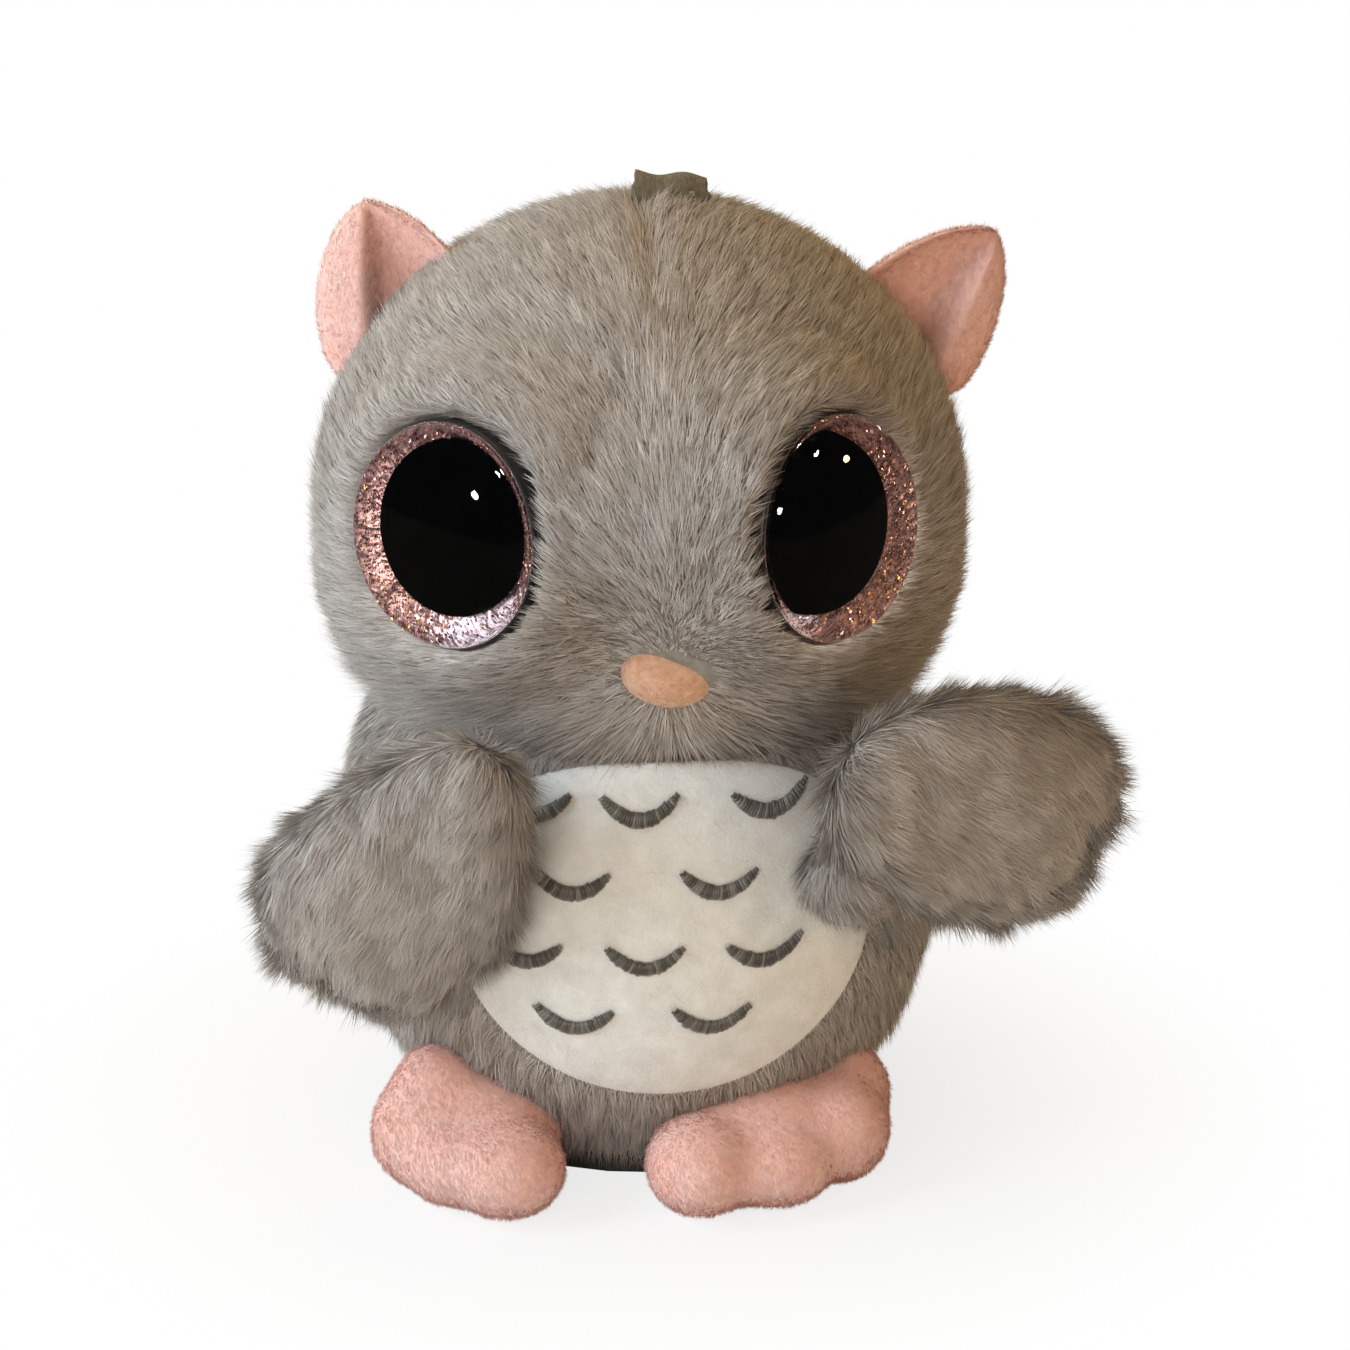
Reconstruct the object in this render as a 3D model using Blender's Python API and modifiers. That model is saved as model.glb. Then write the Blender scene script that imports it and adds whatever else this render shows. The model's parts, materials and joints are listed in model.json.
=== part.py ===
"""Interactive plush owl: a talking, wing-flapping soft toy built as separate pieces.

Frame: +Z up, the owl faces -Y, its own left is +X.  The origin is the middle of
the flat base.  All lengths below are in millimetres and MM turns them to metres.
Pieces are kept 0.3 mm or more apart, because each one is a solid of its own.
"""

import math

import bmesh
import bpy
from mathutils import Euler, Matrix, Vector

MM = 0.001

# ---------------------------------------------------------------- dimensions
SKIN = 1.6                 # plush fabric with its pile pressed down
GAP = 0.3                  # clearance between touching pieces

# body: half profile of the fabric's outside, from the neck hole to the base
BODY_PROFILE = [
    (13.0, 67.5), (25.0, 69.1), (34.6, 72.2), (39.2, 73.5), (43.3, 70.2), (46.6, 60.5),
    (47.9, 47.0), (47.1, 33.0), (43.2, 19.5), (35.6, 8.0), (28.7, 4.0),
]
BODY_STEPS = 28
BELLY_Z = 44.8
BELLY_SEMI_X = 33.0
BELLY_SEMI_Z = 25.2

HEAD_Z = 102.0                   # of the head's widest level
HEAD_SEMI = (49.5, 43.5, 47.5)   # the last is from the widest level up to the crown
HEAD_LOW = 34.2                  # from the widest level down to the chin
HEAD_SQUARE = 2.7                # how full the cheeks are below the widest level
HEAD_YAW = math.radians(2.5)     # the head is stored turned a little to its left

EYE_LEFT = (22.4, -41.8, 109.4)    # the middle of each eye's back; they are sewn on a
EYE_RIGHT = (-30.0, -34.0, 107.8)  # little unevenly
EYE_YAW = 45.0                   # degrees away from straight ahead
EYE_TILT = 4.0                   # degrees upwards
EYE_R = 17.4
PUPIL_R = 11.8

BASE_R = 32.0
BASE_T = 3.4

# wing drive: two wing shafts and one gear between them, all along Y
SHAFT_X = 29.0
SHAFT_Z = 55.5
SHAFT_R = 2.0
SHAFT_FRONT_Y = -46.6
WING_TEETH = 52                  # of a whole wheel, only a sector is made
DRIVE_TEETH = 26
WING_MODULE = 0.8
RING_TEETH = 24
PINION_TEETH = 8
RING_MODULE = 0.9
WHEEL_TEETH = 24
MOTOR_TEETH = 8
WHEEL_MODULE = 0.7

WING_CENTRES = (WING_TEETH + DRIVE_TEETH) * WING_MODULE / 2
DRIVE_Z = SHAFT_Z - math.sqrt(WING_CENTRES ** 2 - SHAFT_X ** 2)
REDUCTION_Z = DRIVE_Z - (RING_TEETH + PINION_TEETH) * RING_MODULE / 2
MOTOR_X = -(WHEEL_TEETH + MOTOR_TEETH) * WHEEL_MODULE / 2
MOTOR_Z = REDUCTION_Z
MOTOR_FRONT_Y = -27.6

# gear layers, front to back
LAYER_C = (-6.0, -3.4)           # wheel and motor pinion
LAYER_B = (-2.6, 0.2)            # ring and pinion
LAYER_A = (1.4, 4.4)             # drive gear and wing sectors

CASE_X = 34.4
CASE_Z = (13.0, 65.6)
CASE_Y = (-7.0, 8.2)
CASE_WALL = 1.6
COVER_Y = (-8.9, -7.3)
CASE_SCREWS = ((-26.5, 20.0), (26.5, 20.0), (0.0, 61.6))

# batteries: two AAA cells standing side by side
CELL_R = 5.25
CELL_Z = (3.0, 47.5)
CELL_X = 5.75
CELL_Y = 15.75
BAY_X = 11.4
BAY_Y = (10.0, 21.5)
BAY_TOP = 54.0
BAY_WALL = 1.4
DOOR_SCREW_Y = 24.9

BUTTON_Z = 50.0
SPEAKER_Z = 36.0

# wings: a padded leaf on each side, one raised and one lowered as stored
WING_SEMI = (24.0, 17.0, 6.0)    # along, across, through
WING_TILT = 22.0                 # the leaf's outer end leans back by this much
WING_PLANE_Y = -48.5             # of the leaf's middle plane at the shaft
WINGS = {
    "wing_left": {"side": 1, "x": 47.5, "z": 66.2, "slope": 20.0, "lever": 26.0},
    "wing_right": {"side": -1, "x": 38.5, "z": 57.5, "slope": 60.0, "lever": 20.0},
}

# ---------------------------------------------------------------- scene set up
for old in list(bpy.data.objects):
    bpy.data.objects.remove(old, do_unlink=True)

PARTS = bpy.data.collections.new("plush_owl")
CUTTERS = bpy.data.collections.new("cutters")
bpy.context.scene.collection.children.link(PARTS)
bpy.context.scene.collection.children.link(CUTTERS)


# ---------------------------------------------------------------- helpers
def material(name, colour, roughness, metallic=0.0):
    """A plain Principled material."""
    made = bpy.data.materials.new(name)
    made.use_nodes = True
    shader = made.node_tree.nodes["Principled BSDF"]
    shader.inputs["Base Color"].default_value = (*colour, 1.0)
    shader.inputs["Roughness"].default_value = roughness
    shader.inputs["Metallic"].default_value = metallic
    return made


def add(name, mesh, look=None):
    """Links a mesh as a part if it has a look, and as a cutter if it has none."""
    thing = bpy.data.objects.new(name, mesh)
    if look is None:
        CUTTERS.objects.link(thing)
        thing.hide_render = True
        thing.display_type = "WIRE"
    else:
        PARTS.objects.link(thing)
        colour, roughness, metallic = look
        mesh.materials.append(material(name, colour, roughness, metallic))
    return thing


def from_bmesh(name, bm, look=None):
    mesh = bpy.data.meshes.new(name)
    bm.to_mesh(mesh)
    bm.free()
    return add(name, mesh, look)


def box(name, low, high, look=None, bevel=0.0):
    """An axis-aligned block between two corners."""
    bm = bmesh.new()
    bmesh.ops.create_cube(bm, size=1.0)
    size = [(high[k] - low[k]) * MM for k in range(3)]
    middle = [(high[k] + low[k]) / 2 * MM for k in range(3)]
    bmesh.ops.scale(bm, vec=size, verts=bm.verts)
    bmesh.ops.translate(bm, vec=middle, verts=bm.verts)
    thing = from_bmesh(name, bm, look)
    if bevel:
        soften(thing, bevel)
    return thing


def soften(thing, width, segments=1):
    edge = thing.modifiers.new("soften", "BEVEL")
    edge.width = width * MM
    edge.segments = segments
    edge.limit_method = "ANGLE"
    edge.angle_limit = math.radians(40)


def rod(name, radius, start, end, look=None, sides=16):
    """A round bar between two points."""
    a = Vector(start) * MM
    b = Vector(end) * MM
    bm = bmesh.new()
    bmesh.ops.create_cone(
        bm, cap_ends=True, segments=sides, radius1=radius * MM, radius2=radius * MM, depth=(b - a).length
    )
    turn = Vector((0, 0, 1)).rotation_difference(b - a).to_matrix().to_4x4()
    bmesh.ops.transform(bm, matrix=Matrix.Translation((a + b) / 2) @ turn, verts=bm.verts)
    return from_bmesh(name, bm, look)


def turned(name, profile, look=None, steps=32, ring=False):
    """A profile of (radius, height) turned about local Z.  A ring profile is closed on itself."""
    mesh = bpy.data.meshes.new(name)
    count = len(profile)
    edges = [(i, i + 1) for i in range(count - 1)]
    if ring:
        edges.append((count - 1, 0))
    mesh.from_pydata([(r * MM, 0.0, z * MM) for r, z in profile], edges, [])
    thing = add(name, mesh, look)
    screw = thing.modifiers.new("turn", "SCREW")
    screw.axis = "Z"
    screw.steps = steps
    screw.render_steps = steps
    screw.use_merge_vertices = True
    screw.merge_threshold = 0.00001
    screw.use_smooth_shade = False
    return thing


def prism(name, outline, low, high, look=None):
    """An outline in local XY raised along local Z."""
    bm = bmesh.new()
    verts = [bm.verts.new((x * MM, y * MM, low * MM)) for x, y in outline]
    face = bm.faces.new(verts)
    raised = bmesh.ops.extrude_face_region(bm, geom=[face])
    tops = [v for v in raised["geom"] if isinstance(v, bmesh.types.BMVert)]
    bmesh.ops.translate(bm, vec=(0, 0, (high - low) * MM), verts=tops)
    bmesh.ops.recalc_face_normals(bm, faces=bm.faces)
    return from_bmesh(name, bm, look)


def egg(name, middle, semi, look=None, turn=None, segments=24, rings=12, square=2.0):
    """An ellipsoid; square above 2 fills its outline towards a rounded block."""
    bm = bmesh.new()
    bmesh.ops.create_uvsphere(bm, u_segments=segments, v_segments=rings, radius=1.0)
    for v in bm.verts:
        flat = math.hypot(v.co.x, v.co.y)
        if square != 2.0 and flat > 1e-6:
            angle = math.atan2(v.co.y, v.co.x)
            reach = (abs(math.cos(angle)) ** square + abs(math.sin(angle)) ** square) ** (-1 / square)
            v.co.x *= reach
            v.co.y *= reach
        v.co = Vector((v.co.x * semi[0], v.co.y * semi[1], v.co.z * semi[2])) * MM
    spin = turn.to_4x4() if turn else Matrix()
    bmesh.ops.transform(bm, matrix=Matrix.Translation(Vector(middle) * MM) @ spin, verts=bm.verts)
    return from_bmesh(name, bm, look)


def bun(name, middle, semi, low, square, look=None, segments=24, rings=12):
    """An ellipsoid above its widest level, and below it a flatter form with full cheeks."""
    bm = bmesh.new()
    bmesh.ops.create_uvsphere(bm, u_segments=segments, v_segments=rings, radius=1.0)
    for v in bm.verts:
        flat = math.hypot(v.co.x, v.co.y)
        height = semi[2]
        if v.co.z < -1e-6:
            height = low
            grow = flat ** (2 / square - 1) if flat > 1e-6 else 1.0
            v.co = Vector((v.co.x * grow, v.co.y * grow, -abs(v.co.z) ** (2 / square)))
        v.co = Vector((v.co.x * semi[0], v.co.y * semi[1], v.co.z * height)) * MM
    bmesh.ops.transform(bm, matrix=Matrix.Translation(Vector(middle) * MM), verts=bm.verts)
    return from_bmesh(name, bm, look)


def boolean(thing, tool, operation):
    step = thing.modifiers.new(tool.name, "BOOLEAN")
    step.operation = operation
    step.solver = "EXACT"
    step.object = tool


def cut(thing, *tools):
    for tool in tools:
        boolean(thing, tool, "DIFFERENCE")


def join(thing, *tools):
    for tool in tools:
        boolean(thing, tool, "UNION")


def face_front(thing):
    """Local Z towards -Y, so that local XY is the front view."""
    thing.rotation_euler = Euler((math.pi / 2, 0, 0))


def face_back(thing):
    """Local Z towards +Y."""
    thing.rotation_euler = Euler((-math.pi / 2, 0, 0))


def inset(profile, distance):
    """A profile moved inwards, at right angles to itself."""
    moved = []
    last = len(profile) - 1
    for i, (r, z) in enumerate(profile):
        r0, z0 = profile[max(i - 1, 0)]
        r1, z1 = profile[min(i + 1, last)]
        length = math.hypot(r1 - r0, z1 - z0)
        moved.append((r + (z1 - z0) / length * distance, z - (r1 - r0) / length * distance))
    return moved


def axis_empty(name, x=0.0, y=0.0, z=0.0, yaw=0.0):
    """An empty on a joint's axis, which carries that joint's pieces."""
    empty = bpy.data.objects.new(name, None)
    empty.location = (x * MM, y * MM, z * MM)
    empty.rotation_euler = (0, 0, yaw)
    PARTS.objects.link(empty)
    return empty


def carry(empty, *things):
    """Parents pieces that are drawn in the shared frame."""
    for thing in things:
        thing.parent = empty
        thing.matrix_parent_inverse = Matrix.Translation(-empty.location)


# looks: colour, roughness, metallic
FUR = ((0.42, 0.37, 0.32), 0.95, 0.0)
CREAM = ((0.80, 0.74, 0.62), 0.95, 0.0)
PINK = ((0.86, 0.52, 0.44), 0.95, 0.0)
FILL = ((0.90, 0.90, 0.88), 1.0, 0.0)
BLACK = ((0.02, 0.02, 0.02), 0.4, 0.0)
CASE = ((0.12, 0.12, 0.13), 0.5, 0.0)
NYLON = ((0.85, 0.85, 0.82), 0.4, 0.0)
STEEL = ((0.62, 0.62, 0.63), 0.3, 1.0)
COPPER_GLITTER = ((0.72, 0.42, 0.34), 0.25, 0.6)
CLEAR = ((0.95, 0.97, 0.98), 0.05, 0.0)
GREEN = ((0.05, 0.28, 0.12), 0.5, 0.0)
KHAKI = ((0.40, 0.34, 0.20), 0.8, 0.0)


# ---------------------------------------------------------------- body
def make_body():
    outer = BODY_PROFILE
    inner = inset(outer, SKIN)
    shell = outer + inner[::-1]
    skin = turned("body_plush", shell, FUR, BODY_STEPS, ring=True)
    panel = turned("belly_panel", shell, CREAM, BODY_STEPS, ring=True)

    def belly_prism(name, grow):
        outline = []
        for k in range(BODY_STEPS):
            a = 2 * math.pi * k / BODY_STEPS
            x = (BELLY_SEMI_X + grow) * math.cos(a)
            z = (BELLY_SEMI_Z + grow) * math.sin(a) + BELLY_Z
            outline.append((x, z))
        made = prism(name, outline, 33.6 - grow, 60.0)
        face_front(made)
        return made

    cut(skin, belly_prism("belly_hole", GAP))
    boolean(panel, belly_prism("belly_keep", 0.0), "INTERSECT")
    for side in (-1, 1):
        hole = rod(
            f"shaft_hole_{side}", SHAFT_R + 1.2,
            (side * SHAFT_X, -60, SHAFT_Z), (side * SHAFT_X, -20, SHAFT_Z),
        )
        cut(panel, hole)
        cut(skin, hole)

    fill = inset(outer, SKIN + 0.9)
    fill = [(0.0, fill[0][1])] + fill + [(0.0, fill[-1][1])]
    stuffing = turned("body_stuffing", fill, FILL, 20)
    room = [
        box("room_case", (-35.0, -9.6, -5), (35.0, 8.9, 66.4)),
        box("room_front", (-21.4, -29.8, -5), (24.4, -9.0, 47.0)),
        box("room_back", (-15.6, 8.0, -5), (15.6, 31.4, 57.0)),
        rod("room_guide", 7.4, (0, -33, BUTTON_Z), (0, -8, BUTTON_Z), sides=12),
        rod("room_button", 11.9, (0, -43.4, BUTTON_Z), (0, -28.5, BUTTON_Z), sides=14),
        rod("room_flange", 9.0, (0, -12.3, BUTTON_Z), (0, -7.7, BUTTON_Z), sides=16),
        rod("room_screw", 3.1, (0, -11.5, 61.6), (0, -8.2, 61.6), sides=10),
        rod("room_left_shaft", 3.0, (SHAFT_X, -60, SHAFT_Z), (SHAFT_X, -9, SHAFT_Z), sides=8),
        rod("room_right_shaft", 3.0, (-SHAFT_X, -60, SHAFT_Z), (-SHAFT_X, -9, SHAFT_Z), sides=8),
        rod("room_neck", 12.6, (0, 0, 60), (0, 0, 90), sides=18),
        box("room_screws_low", (-29.5, -12, -5), (29.5, -9.0, 24.0)),
    ]
    cut(stuffing, *room)
    return skin


def make_feet():
    for name, side, x in (("foot_left", 1, 18.5), ("foot_right", -1, -26.0)):
        yaw = Euler((0, 0, math.radians(20 * side))).to_matrix()
        middle = Vector((x, -33.5, 8.2))
        foot = egg(name, middle, (15.5, 15.0, 8.6), PINK, yaw, 16, 8)
        for toe, across in enumerate((-10.2, 0.0, 10.2)):
            spread = Euler((0, 0, math.radians(20 * side + across * 1.6))).to_matrix()
            forward = -12.0 if toe == 1 else -10.0
            tip = middle + yaw @ Vector((across, forward, -0.9))
            join(foot, egg(f"{name}_toe_{toe}", tip, (6.2, 9.2, 7.6), None, spread, 10, 6))
        grown = inset(BODY_PROFILE, -0.45)
        solid = [(0.0, grown[0][1])] + grown + [(0.0, 2.0)]
        keep_out = turned(f"{name}_body", solid, None, BODY_STEPS)
        floor = box(f"{name}_floor", (-80, -90, -40), (80, 40, 0))
        disc = rod(f"{name}_disc", BASE_R + 0.4, (0, 0, -20), (0, 0, 5), sides=28)
        cut(foot, keep_out, disc, floor)


# ---------------------------------------------------------------- base, power, sound
def make_base():
    base = turned(
        "base_housing",
        [(0.0, BASE_T), (BASE_R, BASE_T), (BASE_R, 0.8), (BASE_R - 0.8, 0.0), (0.0, 0.0)],
        CASE,
        28,
    )
    outer_y = (BAY_Y[0] - BAY_WALL, BAY_Y[1] + BAY_WALL)
    join(
        base,
        box(
            "bay_box",
            (-BAY_X - BAY_WALL, outer_y[0], 1.0),
            (BAY_X + BAY_WALL, outer_y[1], BAY_TOP + BAY_WALL),
        ),
        rod("post_left", 3.0, (20, 0, 1.5), (20, 0, CASE_Z[0] - GAP)),
        rod("post_right", 3.0, (-20, 0, 1.5), (-20, 0, CASE_Z[0] - GAP)),
        rod("screw_boss", 2.8, (0, DOOR_SCREW_Y, 1.5), (0, DOOR_SCREW_Y, 9.0)),
    )
    cut(
        base,
        box("bay_room", (-BAY_X, BAY_Y[0], -5), (BAY_X, BAY_Y[1], BAY_TOP)),
        box("door_seat", (-14.8, 6.9, -5), (14.8, 23.6, 2.1)),
        box("tab_seat", (-4.3, 20.0, -5), (4.3, 28.3, 2.1)),
        rod("screw_room", 1.2, (0, DOOR_SCREW_Y, 0), (0, DOOR_SCREW_Y, 7.6)),
        box("switch_dish", (-6.5, -23.5, -5), (6.5, -16.5, 1.4)),
        box("switch_slot", (-3.6, -21.0, 0), (3.6, -19.0, 6)),
    )

    door = box("battery_door", (-14.5, 7.2, 0.2), (14.5, 23.3, 1.8), CASE)
    join(door, box("door_tab", (-4.0, 20.0, 0.2), (4.0, 28.0, 1.8)))
    cut(
        door,
        rod("door_screw_hole", 1.25, (0, DOOR_SCREW_Y, -1), (0, DOOR_SCREW_Y, 4)),
        rod("door_screw_dish", 2.5, (0, DOOR_SCREW_Y, -1), (0, DOOR_SCREW_Y, 1.2)),
    )
    screw = turned(
        "door_screw",
        [(0.0, 7.0), (0.9, 6.4), (0.9, 0.95), (2.1, 0.95), (2.1, 0.35), (0.0, 0.35)],
        STEEL,
        16,
    )
    screw.location.y = DOOR_SCREW_Y * MM
    plate = box("door_contact", (-10.4, 12.2, 2.1), (10.4, 19.3, 2.6), STEEL)
    pivot = axis_empty("door_axis", 0, CELL_Y, 0)
    carry(pivot, door, screw, plate)

    for number, side in ((1, -1), (2, 1)):
        x = side * CELL_X
        cell = turned(
            f"battery_{number}",
            [(0.0, CELL_Z[1]), (1.9, CELL_Z[1]), (1.9, CELL_Z[1] - 0.9), (CELL_R, CELL_Z[1] - 0.9),
             (CELL_R, CELL_Z[0]), (0.0, CELL_Z[0])],
            ((0.10, 0.10, 0.11), 0.35, 0.3),
            20,
        )
        cell.location = (x * MM, CELL_Y * MM, 0)
        coil(f"battery_spring_{number}", (x, CELL_Y), CELL_Z[1] + 0.8, BAY_TOP - 0.8, 2.6, 3.6, 2.0)


def coil(name, centre, low, high, bottom_r, top_r, turns, wire=0.35, upright=True):
    """A coil spring as a filled-cap curve, turned into a mesh."""
    line = bpy.data.curves.new(f"{name}_line", "CURVE")
    line.dimensions = "3D"
    line.bevel_depth = wire * MM
    line.bevel_resolution = 0
    line.use_fill_caps = True
    count = int(turns * 9) + 1
    spline = line.splines.new("POLY")
    spline.points.add(count - 1)
    for k in range(count):
        part = k / (count - 1)
        angle = 2 * math.pi * turns * part
        radius = bottom_r + (top_r - bottom_r) * part
        height = low + (high - low) * part
        x = centre[0] + radius * math.cos(angle)
        y = radius * math.sin(angle)
        point = (x, centre[1] + y, height) if upright else (x, height, centre[1] + y)
        spline.points[k].co = (point[0] * MM, point[1] * MM, point[2] * MM, 1.0)
    draft = bpy.data.objects.new(f"{name}_line", line)
    CUTTERS.objects.link(draft)
    graph = bpy.context.evaluated_depsgraph_get()
    mesh = bpy.data.meshes.new_from_object(draft.evaluated_get(graph))
    bpy.data.objects.remove(draft, do_unlink=True)
    bm = bmesh.new()
    bm.from_mesh(mesh)
    bmesh.ops.remove_doubles(bm, verts=bm.verts, dist=0.00001)
    bmesh.ops.recalc_face_normals(bm, faces=bm.faces)
    return from_bmesh(name, bm, STEEL)


def make_switch():
    body = box("switch_body", (-7.0, -24.0, BASE_T + GAP), (7.0, -16.0, 9.5), BLACK)
    cut(body, box("switch_room", (-4.4, -21.9, 0), (4.4, -18.1, 6.6)))
    slider = box("power_switch_slider", (-3.1, -20.7, 0.9), (0.1, -19.3, 4.5), BLACK)
    join(
        slider,
        box("slider_thumb", (-3.1, -22.4, 0.35), (0.1, -17.6, 1.1)),
        box("slider_flange", (-3.6, -21.5, 4.1), (0.6, -18.5, 6.2)),
    )
    pivot = axis_empty("switch_axis", 0, -20, 1)
    carry(pivot, slider)


def make_sound():
    board = box("circuit_board", (3.0, -10.6, 17.5), (23.6, -9.2, 41.0), GREEN)
    blob = turned("chip_blob", [(0.0, 1.9), (2.4, 1.6), (3.8, 0.8), (4.0, -0.4), (0.0, -0.4)], None, 16)
    blob.location = (10.0 * MM, -10.6 * MM, 25.0 * MM)
    face_front(blob)
    join(board, blob)
    rod("microphone", 3.0, (18, -15.4, 35.0), (18, -10.9, 35.0), STEEL)

    frame = turned(
        "speaker_frame",
        [(0.0, 0.8), (8.4, 0.8), (12.7, 3.4), (12.7, 4.0), (13.9, 4.0), (13.9, 3.0), (9.0, 0.0), (0.0, 0.0)],
        STEEL,
        24,
    )
    cone = turned(
        "speaker_cone",
        [(0.0, 2.0), (4.0, 2.0), (12.3, 4.2), (12.3, 3.7), (4.2, 1.3), (0.0, 1.3)],
        BLACK,
        24,
    )
    for thing in (frame, cone):
        thing.location = (0, 26.4 * MM, SPEAKER_Z * MM)
        face_back(thing)
    rod("speaker_magnet", 7.5, (0, 23.3, SPEAKER_Z), (0, 26.1, SPEAKER_Z), STEEL, 20)


def make_button():
    z = BUTTON_Z
    guide = rod("button_guide", 6.6, (0, -31, z), (0, -9.2, z), NYLON, 20)
    join(guide, rod("guide_flange", 8.0, (0, -10.4, z), (0, -9.2, z), sides=20))
    cut(
        guide,
        rod("guide_bore", 2.6, (0, -40, z), (0, -12, z), sides=20),
        rod("guide_room", 4.3, (0, -14, z), (0, -5, z), sides=20),
    )
    tact = box("tact_switch", (-2.6, -11.9, z - 2.6), (2.6, -9.5, z + 2.6), BLACK)
    join(tact, rod("tact_nub", 1.2, (0, -12.9, z), (0, -11.5, z)))
    plunger = turned(
        "tummy_button",
        [(0.0, 40.6), (9.6, 40.4), (11.0, 39.4), (11.0, 38.2), (2.25, 38.2), (2.25, 15.2), (0.0, 15.2)],
        NYLON,
        24,
    )
    plunger.location = (0, 0, z * MM)
    face_front(plunger)
    pivot = axis_empty("button_axis", 0, -38, z)
    carry(pivot, plunger)
    coil("button_spring", (0, z), -35.9, -31.4, 3.4, 3.4, 2.0, upright=False)


# ---------------------------------------------------------------- gearbox
def gear_outline(teeth, module, tooth_at=0.0, first=None, last=None, hub=0.0):
    """A gear's outline, with one tooth centred on the angle tooth_at, in degrees.

    With first and last, only that sector is toothed and the rest is a round hub.
    """
    pitch = 360.0 / teeth
    radius = teeth * module / 2
    root = radius - 1.15 * module
    tip = radius + 0.78 * module
    points = []

    def at(r, degrees):
        a = math.radians(degrees)
        points.append((r * math.cos(a), r * math.sin(a)))

    if first is None:
        numbers = range(teeth)
    else:
        low = math.ceil((first - tooth_at) / pitch)
        high = math.floor((last - tooth_at) / pitch)
        numbers = range(low, high + 1)
    for k in numbers:
        middle = tooth_at + k * pitch
        at(root, middle - 0.28 * pitch)
        at(tip, middle - 0.10 * pitch)
        at(tip, middle + 0.10 * pitch)
        at(root, middle + 0.28 * pitch)
    if first is not None:
        start = tooth_at + numbers[-1] * pitch + 30.0
        end = tooth_at + numbers[0] * pitch + 330.0
        for k in range(13):
            at(hub, start + (end - start) * k / 12)
    return points


def mate_tooth(direction, own_tooth, own_teeth, mate_teeth):
    """Where a mating gear has a tooth, in degrees, so that the pair is in mesh.

    direction is the angle from this gear's centre to the mate's.
    """
    own_pitch = 360.0 / own_teeth
    mate_pitch = 360.0 / mate_teeth
    behind = ((direction - own_tooth) / own_pitch) % 1.0
    return direction + 180.0 + (behind + 0.5) * mate_pitch


def layer_prism(name, outline, layer, look=None):
    """A gear blank lying in a layer between two values of Y."""
    made = prism(name, outline, -layer[1], -layer[0], look)
    face_front(made)
    return made


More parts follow.
